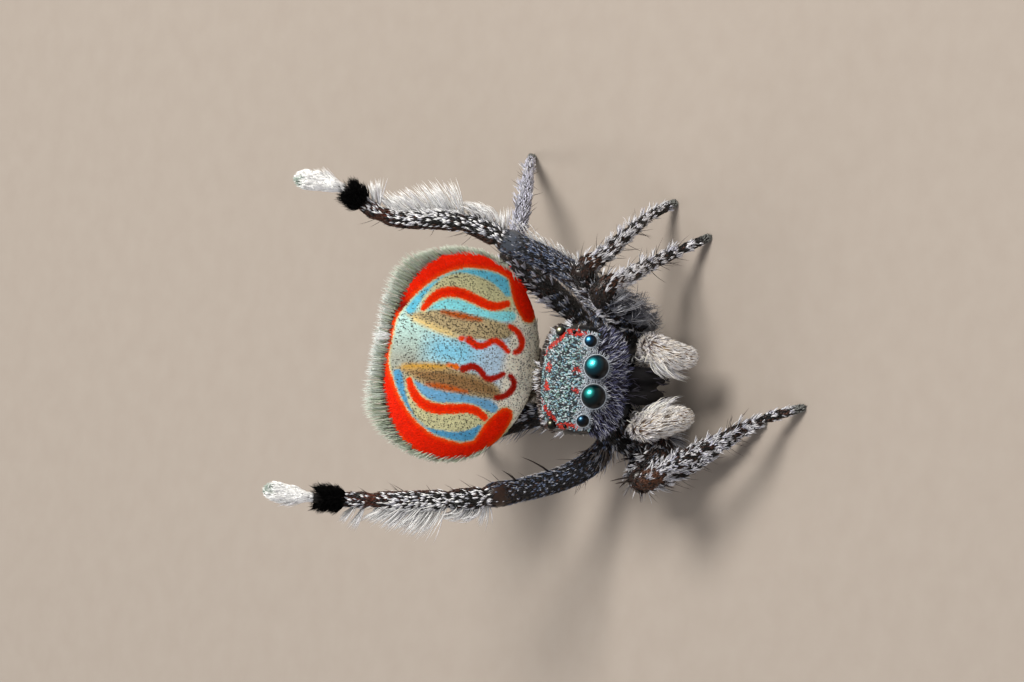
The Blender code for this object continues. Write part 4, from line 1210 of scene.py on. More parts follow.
base = pick(draw, FRINGE_COUNT, ((linear("#A6B48E"), 5), (linear("#5A6456"), 1), (linear("#B6C0B2"), 4)))
tips = pick(draw, FRINGE_COUNT, ((linear("#F0F4F2"), 6), (linear("#CAD6D2"), 3), (linear("#6E786E"), 1)))
# Down the sides the hairs are greener.
tips = blend(tips, linear("#C6D2B4"), np.clip(1.3 * np.abs(cosine) - 0.4, 0, 0.5))
patches = np.column_stack((cosine * reach * sink * 0.45 + 0.5, sine * reach * sink * 0.45 + 0.5))
fringe = grow(HAIR, roots, np.tile(FAN_OUT, (FRINGE_COUNT, 1)), lie,
              long * draw.uniform(0.8, 1.12, FRINGE_COUNT) + (0.985 - sink) * 1.4,
              draw.uniform(0.011, 0.017, FRINGE_COUNT), draw.uniform(-8, 14, FRINGE_COUNT), base, tips, patches,
              thick=0.8, sway=draw.normal(0, 0.10, FRINGE_COUNT))
back_roots, back_out, _ = scatter(of_region("fan"), 0.045, 3)
behind = back_out @ FAN_OUT < 0.05
back_roots, back_out = back_roots[behind], back_out[behind]
across, up, _ = in_frame(back_roots, FAN_ORIGIN, FAN_AXES).T
count = len(back_roots)
back_tint = jitter(draw, pick(draw, count, ((linear("#8B8069"), 3), (linear("#5F5646"), 2))), 0.2)
back_hair = grow(BLADE, back_roots, back_out, FAN_UP + FAN_SIDE * across[:, None] * 0.5,
                 draw.uniform(0.09, 0.14, count), draw.uniform(0.02, 0.03, count), draw.uniform(8, 24, count),
                 back_tint * 0.7, back_tint, np.column_stack((across / 3.4 + 0.5, up / 2.8 + 0.05)))
# A white sheaf from the spinnerets peeps over the rim.
SHEAF = 40
near = draw.normal(0, 0.030, (SHEAF, 3))
white = jitter(draw, np.tile(linear("#F2F3F2"), (SHEAF, 1)), 0.06)
sheaf = grow(HAIR, fan_point(0.13, FAN_CENTRE[1] + FAN_HALF[1] - 0.02,
                             FAN_DOME - FAN_THICKNESS / 2 - 0.04) + near,
             np.tile(FAN_OUT, (SHEAF, 1)), FAN_UP + near * 4, draw.uniform(0.16, 0.24, SHEAF),
             draw.uniform(0.015, 0.022, SHEAF), draw.uniform(4, 34, SHEAF), white, white,
             np.tile((0.5, 0.97), (SHEAF, 1)), thick=0.8, curl=0.5)
coat_piece("fan_fringe", [fringe, back_hair, sheaf], hair_finish)

# %% [markdown]
# The head is covered on top by pale blue-green scales with dark gaps, redder in its bars and
# spots, and by looser violet-grey hairs on the face. Sides are all but bare.

# %% Coat of the head
draw = np.random.default_rng(SEED + 4)
roots, out, _ = scatter(of_region("head"), 0.0235, 4)
across, back, up = in_frame(roots, HEAD_ORIGIN, HEAD_AXES).T
eye_clear = np.ones(len(roots), dtype=bool)
eye_near = np.full(len(roots), 9.0)
for centre, radius, _, name in each_eye:
    away = np.linalg.norm(roots - centre, axis=1) - radius
    eye_clear &= away > radius * 0.06
    if name.startswith("eye_front"):
        eye_near = np.minimum(eye_near, away)
above = out @ HEAD_AXES[2]
red = head_marks(across, back) > draw.normal(0, 0.010, len(roots))
# Scales end where the sides turn down: the shoulder under the bars is bare shell.
edge_of_top = np.where((np.abs(across) > 0.68) & (back > 0.1), 0.58, 0.42)
on_top = (above > edge_of_top) & eye_clear & (back < 1.0)
keep = on_top & (draw.random(len(roots)) < np.where(red, 0.95, 0.86))
count = int(keep.sum())
pale = pick(draw, count, ((linear("#92B4B6"), 5), (linear("#C4CFD4"), 4), (linear("#6890A2"), 4),
                          (linear("#7C9F90"), 2), (linear("#20282E"), 7), (HEAD_GAP, 4)))
whiter = np.clip(1 - eye_near[keep] / 0.10, 0, 1) + np.clip((np.abs(across[keep]) - 0.72) / 0.1, 0, 0.5)
pale = blend(pale, linear("#CDD2DA"), whiter * (draw.random(count) < 0.75))
crimson = pick(draw, count, ((HEAD_RED, 5), (linear("#D8381A"), 2), (HEAD_RED_DARK, 4)))
tint = jitter(draw, np.where(red[keep][:, None], crimson, pale), 0.15)
backwards = np.tile(HEAD_AXES[1], (count, 1)) + HEAD_AXES[0] * (across[keep] * 0.4)[:, None]
backwards = backwards + HEAD_AXES[0] * draw.normal(0, 0.8, count)[:, None]
head_patch = np.column_stack((np.arctan2(up + 0.15, across) / (2 * math.pi) + 0.5, (back + 0.2) / 2.3))
head_scales = grow(SCALE, roots[keep], out[keep], backwards, draw.uniform(0.036, 0.056, count),
                   draw.uniform(0.022, 0.032, count), draw.uniform(6, 24, count), tint * 0.8, tint,
                   head_patch[keep], thick=0.4)

thorax = (above > 0.3) & (back >= 1.0) & (draw.random(len(roots)) < 0.6)
count = int(thorax.sum())
grey = jitter(draw, pick(draw, count, ((linear("#1E1A1A"), 5), (linear("#A4A09C"), 2), (linear("#4A3A30"), 2))), 0.2)
thorax_hair = grow(BLADE, roots[thorax], out[thorax], np.tile(HEAD_AXES[1], (count, 1)),
                   draw.uniform(0.08, 0.13, count), draw.uniform(0.018, 0.026, count),
                   draw.uniform(6, 20, count), grey * 0.6, grey, head_patch[thorax])

# The face below and between the front eyes: violet-grey hairs that hang down and part at the middle.
face = (above <= 0.42) & (back < FACE_DEPTH) & eye_clear & (draw.random(len(roots)) < 0.72)
count = int(face.sum())
violet = pick(draw, count, ((linear("#D8DAE6"), 3), (linear("#70739A"), 4), (linear("#1B1728"), 5)))
violet = jitter(draw, violet, 0.2)
down = -HEAD_AXES[2] + HEAD_AXES[0] * (across[face] * 1.6 + draw.normal(0, 0.6, count))[:, None]
face_hair = grow(HAIR, roots[face], out[face], down, draw.uniform(0.07, 0.15, count),
                 draw.uniform(0.009, 0.014, count), draw.uniform(15, 50, count), violet * 0.7, violet,
                 head_patch[face], thick=0.8, sway=draw.normal(0, 0.2, count))

# A hair line along the lower margin of each side; the shell above it stays bare and black.
flank = (above <= 0.42) & (back >= FACE_DEPTH) & eye_clear
flank &= draw.random(len(roots)) < np.where(up < -0.40, 0.7, 0.03)
count = int(flank.sum())
white = jitter(draw, pick(draw, count, ((linear("#D2CEC8"), 3), (linear("#6C6660"), 3))), 0.15)
flank_hair = grow(BLADE, roots[flank], out[flank], np.tile(HEAD_AXES[1] * 0.8 - HEAD_AXES[2] * 0.6, (count, 1)),
                  draw.uniform(0.07, 0.12, count), draw.uniform(0.014, 0.020, count),
                  draw.uniform(6, 20, count), white * 0.7, white, head_patch[flank])

# Small white sheaves stand behind the rear eyes and at the back of the head.
TUFTS = ((0.80, 0.66, 0.12), (0.66, 0.86, 0.24), (0.56, 0.95, 0.25), (0.05, 1.27, 0.25), (0.16, 1.20, 0.27))
tufts = []
for at_across, at_back, at_up in TUFTS:
    for sign in (1, -1):
        spot = head_point(sign * at_across, at_back, at_up)
        lean = unit(HEAD_AXES[0] * sign * at_across + HEAD_AXES[2] * 0.5)
        lie = HEAD_AXES[1] + lean * 0.3 + draw.normal(0, 0.25, (13, 3))
        tone = jitter(draw, pick(draw, 13, ((linear("#E6E6EA"), 4), (linear("#9A9AA4"), 2))), 0.1)
        tufts.append(grow(HAIR, spot + draw.normal(0, 0.016, (13, 3)), np.tile(lean, (13, 1)), lie,
                          draw.uniform(0.10, 0.18, 13), draw.uniform(0.012, 0.017, 13),
                          draw.uniform(18, 44, 13), tone * 0.7, tone, np.tile((0.5, at_back / 2.3), (13, 1)),
                          thick=0.8, curl=0.5))
coat_piece("head_scales", [head_scales], body_scale_finish, smooth=False)
coat_piece("head_hair", [thorax_hair, face_hair, flank_hair] + tufts, hair_finish)

# %% [markdown]
# Short pale lashes ring each front eye and lie away from it, like the petals of a daisy.

# %% Lashes round the eyes
LASHES_PER_MM = 420
draw = np.random.default_rng(SEED + 5)
lashes = []
for centre, radius, sign, name in each_eye:
    if not name.startswith("eye_front"):
        continue
    facing = eye_facing(name, sign)
    count = int(LASHES_PER_MM * radius)
    turns = np.linspace(0, 2 * math.pi, count, endpoint=False) + draw.normal(0, 0.04, count)
    first = unit(np.cross(facing, np.array((0.0, 0.0, 1.0))))
    second = np.cross(first, facing)
    ray = first * np.cos(turns)[:, None] + second * np.sin(turns)[:, None]
    tint = jitter(draw, pick(draw, count, ((linear("#C9CED6"), 3), (linear("#8E98A4"), 2))), 0.1)
    lashes.append(grow(BLADE, centre + ray * radius * 0.99 + facing * radius * 0.06,
                       np.tile(facing, (count, 1)), ray - facing * 0.1, draw.uniform(0.05, 0.09, count),
                       draw.uniform(0.010, 0.014, count), draw.uniform(0, 24, count), tint * 0.7, tint,
                       np.column_stack((turns / 7, np.full(count, radius * 2)))))
coat_piece("eye_lashes", lashes, hair_finish)

# %% [markdown]
# Walking legs are salt and pepper: pale scales in clumps over dark brown ones, with loose hair
# below the thigh. A slow wave of two sines along and round the leg gathers the pale scales into
# their clumps.

# %% Coat of the walking legs
WALKING_LEGS = [name for name in LEG_JOINTS if not name.startswith("leg_3")]
WHITE, PALE_GREY, MID_GREY = linear("#ECEBEE"), linear("#A9AAB2"), linear("#62646E")
DARK, BROWN, BLUE_GREY = linear("#0E0C0C"), linear("#3E2216"), linear("#5A6680")
LILAC, PAD_GREY, ORANGE_BROWN = linear("#D6D6E8"), linear("#7C7E7A"), linear("#5E3A26")
CLUMP_STEP = 0.24


def patchy(points, size, seed):
    """Smooth uneven noise of about -2 to 2, in patches of this size."""
    draw = np.random.default_rng(SEED + seed)
    waves = unit(draw.normal(size=(14, 3))) * math.pi / (size * draw.uniform(0.8, 1.3, (14, 1)))
    return np.sin(points @ waves.T + draw.uniform(0, 2 * math.pi, 14)).sum(axis=1) / math.sqrt(7)


def clumps(limb, points, t, seed):
    """High where pale scales gather: in an uneven patch every quarter of a millimetre."""
    step = np.sin(2 * math.pi * limb.along(t) / CLUMP_STEP + 1.4 * patchy(points, 0.18, seed))
    return 0.9 * step + 0.55 * patchy(points, 0.055, seed + 7)


def leg_places(name, seed, spacing):
    """Roots on a leg with their normals, places along and round it, and the lie of its coat."""
    limb = limbs[name]
    roots, out, _ = scatter(of_region(name), spacing, seed)
    t, angle = limb.place_of(roots)
    return limb, roots, out, t, angle, limb.heading(t)


def leg_patch(index, count, t, angle, last=7):
    """Place of a root on the unrolled skin, each leg in its own strip."""
    return np.column_stack(((index + 0.02 + 0.96 * (angle / (2 * math.pi) + 0.5)) / count, t / last * 0.96 + 0.02))


def bunches(draw, places, size, chance, tones, patch, long, steep):
    """Small sheaves of pale hairs: size hairs from nearly one root, fanned a little."""
    limb, roots, out, t, angle, heading = places
    chosen = np.flatnonzero(draw.random(len(t)) < chance).repeat(size)
    count = len(chosen)
    spread = draw.normal(0, 0.22, count)
    shift = unit(np.cross(heading[chosen], out[chosen])) * (spread * 0.035)[:, None]
    tone = jitter(draw, pick(draw, count, tones), 0.12)
    return grow(HAIR, roots[chosen] + shift, out[chosen], heading[chosen], draw.uniform(*long, count),
                draw.uniform(0.014, 0.020, count), draw.uniform(*steep, count), tone * 0.6, tone, patch[chosen],
                thick=0.8, curl=0.4, sway=spread * 0.9)


def walking_coat(index, name, total):
    """Scales, sheaves and loose hairs of one walking leg."""
    draw = np.random.default_rng(SEED + 10 + index)
    limb, roots, out, t, angle, heading = leg_places(name, 10 + index, 0.029)
    bare = (np.abs(t - KNEE) < draw.normal(0.04, 0.03, len(t))) & (np.cos(angle) > 0.2)
    keep = ~bare & (t > 0.3)
    roots, out, t, angle, heading = roots[keep], out[keep], t[keep], angle[keep], heading[keep]
    count = len(roots)
    cut = np.interp(t, (0, 2.5, 2.8, 3.15, 3.4, 4.1, 7.0), (1.0, 0.8, 1.5, 1.4, 0.55, 0.15, 0.1))
    cut = cut + (0.12 if name == "leg_1_right" else 0.0)
    if name == "leg_4_left":
        cut = cut - np.interp(t, (2.9, 3.4), (0, 2.0))
    pale = clumps(limb, roots, t, 60 + index) + draw.normal(0, 0.2, count) > cut
    pale_tint = pick(draw, count, ((WHITE, 6), (PALE_GREY, 2), (LILAC, 1)))
    thigh_tint = pick(draw, count, ((BLUE_GREY, 3), (PALE_GREY, 3), (MID_GREY, 2)))
    pale_tint = np.where((t < 3)[:, None], thigh_tint, pale_tint)
    if name == "leg_4_left":
        pale_tint = np.where((t > 3.2)[:, None], pick(draw, count, ((LILAC, 4), (PALE_GREY, 2))), pale_tint)
    at_patella = np.exp(-((t - 3.55) / 0.4) ** 2)
    russet = at_patella * 0.4 + (0.4 if name == "leg_1_right" else 0.12)
    warm = blend(np.tile(BROWN, (count, 1)), ORANGE_BROWN, at_patella) * draw.uniform(0.6, 1.5, (count, 1))
    dark_tint = np.where((draw.random(count) < russet)[:, None], warm, DARK)
    pads = np.clip((t - 6.65) / 0.2, 0, 1)
    tint = blend(jitter(draw, np.where(pale[:, None], pale_tint, dark_tint), 0.15), PAD_GREY, pads)
    patch = leg_patch(index, total, t, angle)
    near_tip = np.interp(t, (6.5, 7.0), (1.0, 0.70))
    rise = np.where(pale, draw.uniform(8, 20, count), draw.uniform(3, 10, count))
    grown = [grow(SCALE, roots, out, heading, draw.uniform(0.055, 0.09, count) * near_tip,
                  draw.uniform(0.022, 0.032, count), rise, tint * 0.75, tint, patch, thick=0.4,
                  sway=draw.normal(0, 0.15, count))]
    wide = leg_places(name, 110 + index, 0.070)
    _, wide_roots, _, place, turn, _ = wide
    chance = np.interp(place, (0.8, 1.5, 2.7, 2.85, 3.2, 4.0, 6.4, 6.7, 7.0), (0.05, 0.2, 0.2, 0.0, 0.3, 0.9, 0.9, 0.2, 0.0))
    chance = chance * np.clip(clumps(limb, wide_roots, place, 60 + index) * 0.9 + 0.25, 0.04, 1)
    chance = chance * (0.8 if name == "leg_1_right" else 1)
    tones = ((LILAC, 4), (PALE_GREY, 3), (WHITE, 2)) if name == "leg_4_left" else ((WHITE, 7), (LILAC, 1), (PALE_GREY, 2))
    grown.append(bunches(draw, wide, 4, chance, tones, leg_patch(index, total, place, turn), (0.08, 0.14), (14, 34)))
    # Steeper tufts along the leg's upper edge.
    crest = leg_places(name, 210 + index, 0.10)
    _, _, _, place, turn, _ = crest
    chance = np.interp(place, (1.2, 2.6, 2.8, 3.2, 3.3, 6.0, 6.4), (0.2, 0.3, 0.0, 0.0, 0.7, 0.7, 0.0))
    chance = chance * (np.cos(turn) > 0.55)
    grown.append(bunches(draw, crest, 5, chance, tones, leg_patch(index, total, place, turn), (0.12, 0.18), (44, 66)))
    fringe = (t > 0.9) & (t < 2.9) & (np.cos(angle) < 0.3) & (draw.random(count) < 0.12)
    few = int(fringe.sum())
    tone = jitter(draw, pick(draw, few, ((PALE_GREY, 4), (WHITE, 2), (MID_GREY, 3))), 0.15)
    grown.append(grow(HAIR, roots[fringe], out[fringe], heading[fringe], draw.uniform(0.16, 0.28, few),
                      draw.uniform(0.011, 0.016, few), draw.uniform(30, 60, few), tone * 0.5, tone, patch[fringe],
                      thick=0.9, curl=0.5, sway=draw.normal(0, 0.15, few)))
    return grown


def leg_fluff(name, first, last, strand_count, seed, index, total):
    """Long soft grey hairs in strands that hang forward and down from the thigh of a front leg."""
    draw = np.random.default_rng(SEED + seed)
    limb = limbs[name]
    hang = np.array((0.1, -0.6, -0.75))
    t = draw.uniform(first, last, strand_count).repeat(5)
    turn = draw.uniform(-math.pi, math.pi, strand_count).repeat(5)
    lean = draw.normal(0, 0.24, (strand_count, 3)).repeat(5, axis=0)
    tone = pick(draw, strand_count, ((linear("#A9ABB2"), 4), (linear("#5A5C66"), 4), (WHITE, 2))).repeat(5, axis=0)
    t = t + draw.normal(0, 0.012, len(t))
    turn = turn + draw.normal(0, 0.08, len(t))
    normal = limb.side(t, turn)
    keep = (normal @ hang) > 0.1
    t, turn, normal, lean, tone = t[keep], turn[keep], normal[keep], lean[keep], tone[keep]
    count = len(t)
    lie = limb.heading(t) * 0.4 + hang + lean + draw.normal(0, 0.05, (count, 3))
    tone = jitter(draw, tone, 0.12)
    return grow(HAIR, limb.point(t) + normal * limb.radius(t)[:, None] * 0.9, normal, lie,
                draw.uniform(0.26, 0.44, count), draw.uniform(0.011, 0.016, count), draw.uniform(34, 54, count),
                tone * 0.4, tone, leg_patch(index, total, t, turn), thick=0.8, curl=0.9,
                sway=draw.normal(0, 0.06, count))


for side in ("left", "right"):
    names = [name for name in WALKING_LEGS if name.endswith(side)]
    grown = []
    for index, name in enumerate(names):
        grown += walking_coat(index + (3 if side == "right" else 0), name, 6)
    grown.append(leg_fluff("leg_1_" + side, 0.5, 2.7, 200 if side == "left" else 60, 200, 0, 6))
    coat_piece("walking_leg_coat_" + side, grown, body_scale_finish)

# %% [markdown]
# The third legs are the flags. The thigh is dark with blue-grey scales. Shin and knee are
# black and white, with a stiff white brush along the outer side. Then come a thin red-brown joint,
# a black bottle brush and a pure white foot with a grey pad.

# %% Coat of the raised legs
SNOW, SOOT, PAD = linear("#FBFBF9"), linear("#030303"), linear("#A3B0A6")
THIGH_BLACK, THIGH_BROWN = linear("#12131A"), linear("#5A4A40")
BAND_START, BAND_END, FOOT_START = 5.46, 5.84, 5.95
# Velvet black hair swallows light: dull, with hardly any mirror shine.
velvet_finish = tinted("velvet_black_hair", {"Roughness": 0.9, "IOR": 1.5, "Specular IOR Level": 0.1},
                       0.1, 0.1, 0.02, 0.0)


def strands(draw, limb, place, turn, long, width, steep, curl, tones, index):
    """Stout white brush hairs, each from its own place on the leg."""
    count = len(place)
    normal = limb.side(place, turn)
    root = limb.point(place) + normal * limb.radius(place)[:, None] * 0.85
    tone = jitter(draw, pick(draw, count, tones), 0.05)
    return grow(HAIR, root, normal, limb.heading(place), long, draw.uniform(*width, count), steep, tone * 0.8,
                tone, leg_patch(index, 2, place, turn), thick=0.8, curl=curl, sway=draw.normal(0, 0.09, count))


def gathered(draw, start, end, count, groups, loose):
    """Places from start to end, gathered in groups."""
    centres = np.linspace(start, end, groups)
    return np.clip(draw.choice(centres, count) + draw.normal(0, loose, count), start, end)


# Brush tufts of both raised legs.
BRUSH = (
    # from, to, hairs, groups, turn, turn spread, length at both ends, rise at both ends, curl
    (4.06, 4.88, 230, 24, 0, 0.60, (0.16, 0.14), (34, 26), 0.5),
    (4.05, 4.90, 210, 17, 0, 0.30, (0.60, 0.37), (64, 38), 0.25),
    (3.28, 3.88, 90, 11, 0, 0.34, (0.38, 0.34), (86, 60), 1.2),
    (3.06, 3.15, 28, 2, 0, 0.24, (0.38, 0.30), (80, 70), 0.2),
    (5.12, 5.28, 50, 2, 0, 0.22, (0.42, 0.34), (66, 50), 0.1),
)


def raised_coat(index, name):
    """Scales and white brush of one raised leg, and the hairs of its black band."""
    draw = np.random.default_rng(SEED + 20 + index)
    left = name.endswith("left")
    limb, roots, out, t, angle, heading = leg_places(name, 20 + index, 0.027)
    outer = np.cos(angle)
    bare = (np.abs(t - KNEE) < draw.normal(0.07, 0.03, len(t))) & (outer > -0.75)
    keep = ~bare & (t > 0.3) & (t < BAND_START) & ((t < 3) | (draw.random(len(t)) < 0.62))
    r, o, tt, aa, hh = roots[keep], out[keep], t[keep], angle[keep], heading[keep]
    count = len(r)
    thigh_cut = -0.25 if left else 0.5
    cut = np.interp(tt, (0, 2.8, 3.1, 4.8, 4.95, 5.1, 5.46), (thigh_cut, thigh_cut, 0.0, 0.0, 1.4, 0.6, 0.0))
    brown_side = np.cos(aa) < (-0.72 if left else -0.88)
    cut = cut + np.where((tt > 3) & brown_side, 1.5, 0.0)
    pale = patchy(r, 0.045, 80 + index) + draw.normal(0, 0.3, count) > cut
    tone = np.where((tt < 3)[:, None], pick(draw, count, ((BLUE_GREY, 5), (PALE_GREY, 2), (MID_GREY, 2))),
                    pick(draw, count, ((WHITE, 5), (PALE_GREY, 4), (SNOW, 2))))
    russet = np.where((np.abs(tt - 5.0) < 0.12) | (brown_side & (tt > 3)), 0.75, 0.05)
    dark = np.where((tt < 3)[:, None], THIGH_BLACK, DARK)
    dark = np.where((draw.random(count) < russet)[:, None], BROWN * draw.uniform(0.7, 1.8, (count, 1)), dark)
    tint = jitter(draw, np.where(pale[:, None], tone, dark), 0.12)
    patch = leg_patch(index, 2, t, angle)
    large = np.where(tt < 3, 0.62, 1.0)
    grown = [grow(SCALE, r, o, hh, draw.uniform(0.08, 0.12, count) * large, draw.uniform(0.030, 0.042, count) * large,
                  np.where(pale, draw.uniform(8, 18, count), draw.uniform(3, 9, count)), tint * 0.8, tint,
                  patch[keep], thick=0.35, sway=draw.normal(0, 0.12, count))]
    white = ((SNOW, 8), (WHITE, 2))
    for start, end, number, groups, middle, loose, long, steep, curl in BRUSH:
        place = gathered(draw, start, end, number, groups, 0.014)
        share = (place - start) / (end - start)
        length = (long[0] + (long[1] - long[0]) * share) * draw.uniform(0.74, 1.08, number)
        rise = steep[0] + (steep[1] - steep[0]) * share + draw.normal(0, 5, number)
        grown.append(strands(draw, limb, place, middle + draw.normal(0, loose, number), length, (0.018, 0.028),
                             rise, curl, white, index))
    # The thigh: a pale crest on the left leg, a fine pale line on the right one.
    place = gathered(draw, 1.5, 2.76, 150, 30, 0.02)
    if left:
        long = np.interp(place, (1.5, 2.4, 2.7), (0.18, 0.24, 0.36)) * draw.uniform(0.7, 1.1, 150)
        grown.append(strands(draw, limb, place, draw.normal(0.1, 0.4, 150), long, (0.015, 0.022),
                             np.interp(place, (1.5, 2.7), (26, 58)) + draw.normal(0, 8, 150), 0.8, white, index))
    else:
        grown.append(strands(draw, limb, place, math.pi + draw.normal(0, 0.35, 150), draw.uniform(0.09, 0.15, 150),
                             (0.012, 0.017), draw.uniform(14, 34, 150), 0.6, ((PALE_GREY, 4), (WHITE, 4)), index))
    place = draw.uniform(0.9, 1.9, 130)
    soft = ((linear("#8A8078"), 4), (THIGH_BROWN, 4), (PALE_GREY, 2))
    grown.append(strands(draw, limb, place, draw.uniform(-math.pi, math.pi, 130), draw.uniform(0.16, 0.28, 130),
                         (0.012, 0.017), draw.uniform(20, 50, 130), 0.6, soft, index))

    # The black band: dense hairs all round that stand well off the leg.
    band = (t > BAND_START) & (t < BAND_END)
    repeat = np.flatnonzero(band).repeat(4)
    count = len(repeat)
    tone = np.tile(SOOT, (count, 1))
    velvet = grow(HAIR, roots[repeat], out[repeat], heading[repeat], draw.triangular(0.10, 0.17, 0.24, count),
                  draw.uniform(0.013, 0.020, count), draw.uniform(30, 66, count), tone, tone * 1.5,
                  patch[repeat], thick=0.8, curl=0.3, sway=draw.normal(0, 0.2, count))

    # The white foot: a slim root that spreads into a flat paddle, with the pale pad at its end.
    foot = t >= FOOT_START
    repeat = np.flatnonzero(foot).repeat(4)
    count = len(repeat)
    along = t[repeat]
    pad = np.clip((along - 6.60) / 0.1, 0, 1) * (np.cos(angle[repeat]) < 0.5)
    tone = jitter(draw, blend(np.tile(SNOW, (count, 1)), PAD, pad), 0.05)
    flat = np.abs(np.cos(angle[repeat]))
    length = np.interp(along, (5.95, 6.2, 6.5, 6.74), (0.12, 0.21, 0.23, 0.15)) * draw.uniform(0.85, 1.08, count)
    rise = np.interp(along, (6.0, 6.25, 6.5, 6.74), (6, 30, 44, 30)) * (0.25 + flat) + draw.uniform(0, 8, count)
    grown.append(grow(HAIR, roots[repeat], out[repeat], heading[repeat], length, draw.uniform(0.016, 0.025, count),
                      rise, tone * 0.97, tone, patch[repeat], thick=0.8, curl=1.1,
                      sway=draw.normal(0, 0.10, count)))
    place = gathered(draw, 6.12, 6.30, 30, 3, 0.03)
    grown.append(strands(draw, limb, place, draw.normal(0, 0.4, 30), draw.uniform(0.20, 0.30, 30), (0.016, 0.024),
                         draw.uniform(24, 40, 30), 0.3, white, index))
    return grown, velvet


velvets = []
for index, name in enumerate(("leg_3_left", "leg_3_right")):
    grown, velvet = raised_coat(index, name)
    velvets.append(velvet)
    coat_piece(name.replace("leg_3", "raised_leg_coat"), grown, hair_finish)
coat_piece("black_bands", velvets, velvet_finish)

# %% [markdown]
# The palps hang in front of the jaws like two cream powder puffs. Their hairs grow all round, lie
# towards the tip and part like a chrysanthemum.

# %% Coat of the palps
CURLS = 300
draw = np.random.default_rng(SEED + 30)
palp_coat = []
for index, name in enumerate(PALP_JOINTS):
    limb, roots, out, t, angle, heading = leg_places(name, 30 + index, 0.030)
    band = (np.abs(t - 2.72) < 0.08) & (draw.random(len(t)) < 0.75)
    keep = np.flatnonzero(~band & (t > 0.2)).repeat(2)
    count = len(keep)
    bulb = np.clip((t[keep] - 2.2) / 0.6, 0, 1)
    cream = pick(draw, count, ((linear("#FFFFFF"), 7), (linear("#F8F0E4"), 3), (linear("#5A4C42"), 1.0)))
    grey = pick(draw, count, ((linear("#E4E3E8"), 5), (linear("#6A6874"), 2), (linear("#FAF5EC"), 5)))
    tip = jitter(draw, blend(grey, cream, bulb), 0.06)
    root_tint = blend(tip, linear("#A08468"), np.full(count, 0.35))
    long = (0.17 - 0.02 * bulb) * np.interp(t[keep], (3.2, 3.66), (1.0, 0.62)) * draw.uniform(0.8, 1.2, count)
    palp_coat.append(grow(HAIR, roots[keep], out[keep], heading[keep], long, draw.uniform(0.012, 0.019, count),
                          draw.uniform(16, 44, count), root_tint, tip, leg_patch(index, 2, t[keep], angle[keep], 4),
                          thick=0.8, curl=0.8, sway=draw.normal(0, 0.15, count)))
    # Curved hairs that hang from the inner and lower edge of the arm.
    inward = -1 if name.endswith("left") else 1
    place = gathered(draw, 1.3, 3.3, CURLS, 34, 0.02)
    hang = np.array((0.85 * inward, 0.0, -0.4))
    normal = unit(hang + draw.normal(0, 0.30, (CURLS, 3)))
    heading_here = limb.heading(place)
    normal = unit(normal - heading_here * (normal * heading_here).sum(axis=1, keepdims=True))
    tone = jitter(draw, pick(draw, CURLS, ((linear("#FFFAF0"), 5), (linear("#D0CED2"), 3))), 0.08)
    palp_coat.append(grow(HAIR, limb.point(place) + normal * limb.radius(place)[:, None] * 0.9, normal, heading_here,
                          draw.uniform(0.24, 0.40, CURLS), draw.uniform(0.014, 0.021, CURLS),
                          draw.uniform(50, 84, CURLS), tone * 0.8, tone,
                          leg_patch(index, 2, place, np.zeros(CURLS), 4), thick=0.8, curl=1.2,
                          sway=draw.normal(0, 0.12, CURLS)))
coat_piece("palp_hair", palp_coat, hair_finish)

# %% [markdown]
# Belly, breastplate and jaws have a plain coat of grey-brown hair that lies towards the rear,
# with a white tuft round the spinnerets.

# %% Coat of the belly and underside
draw = np.random.default_rng(SEED + 40)
roots, out, regions = scatter(of_region("belly", "spinnerets", "waist", "sternum", "mouth"), 0.045, 40)
across, up, _ = in_frame(roots, FAN_ORIGIN, FAN_AXES).T
_, back, head_up = in_frame(roots, HEAD_ORIGIN, HEAD_AXES).T
rear = np.isin(regions, [REGIONS.index(n) for n in ("belly", "spinnerets", "waist")])
tail = regions == REGIONS.index("spinnerets")
mouth = regions == REGIONS.index("mouth")
keep = np.flatnonzero(~mouth | (draw.random(len(roots)) < 0.10)).repeat(2)
count = len(keep)
rear, tail, mouth = rear[keep], tail[keep], mouth[keep]
tone = pick(draw, count, ((linear("#8B7F69"), 4), (linear("#554A3B"), 3), (linear("#B5AB96"), 2)))
grey = pick(draw, count, ((linear("#9A9790"), 3), (linear("#4B4744"), 3)))
tone = np.where(rear[:, None], tone, grey)
tone = np.where(tail[:, None], linear("#E6E6E2"), tone)
tone = jitter(draw, np.where(mouth[:, None], linear("#2E2A38"), tone), 0.15)
lie = np.where(rear[:, None], FAN_UP, np.where(mouth[:, None], -HEAD_AXES[2], HEAD_AXES[1]))
patch = np.where(rear[:, None], np.column_stack((across[keep] / 2 + 0.5, up[keep] / 5.5 + 0.1)),
                 np.column_stack((across[keep] / 2 + 0.5, back[keep] / 5 + 0.55)))
long = draw.uniform(0.10, 0.18, count) * np.where(tail, 1.35, 1.0)
belly_hair = grow(BLADE, roots[keep], out[keep], lie, long,
                  draw.uniform(0.014, 0.022, count), draw.uniform(12, 38, count), tone * 0.6, tone, patch,
                  thick=0.7, curl=0.5, sway=draw.normal(0, 0.2, count))
coat_piece("belly_hair", [belly_hair], hair_finish)

# %% [markdown]
# Spines are stiff black bristles, the longest on thighs and knees. They are few, so each is listed
# one by one: where along its leg, how far round, how steep and how long.

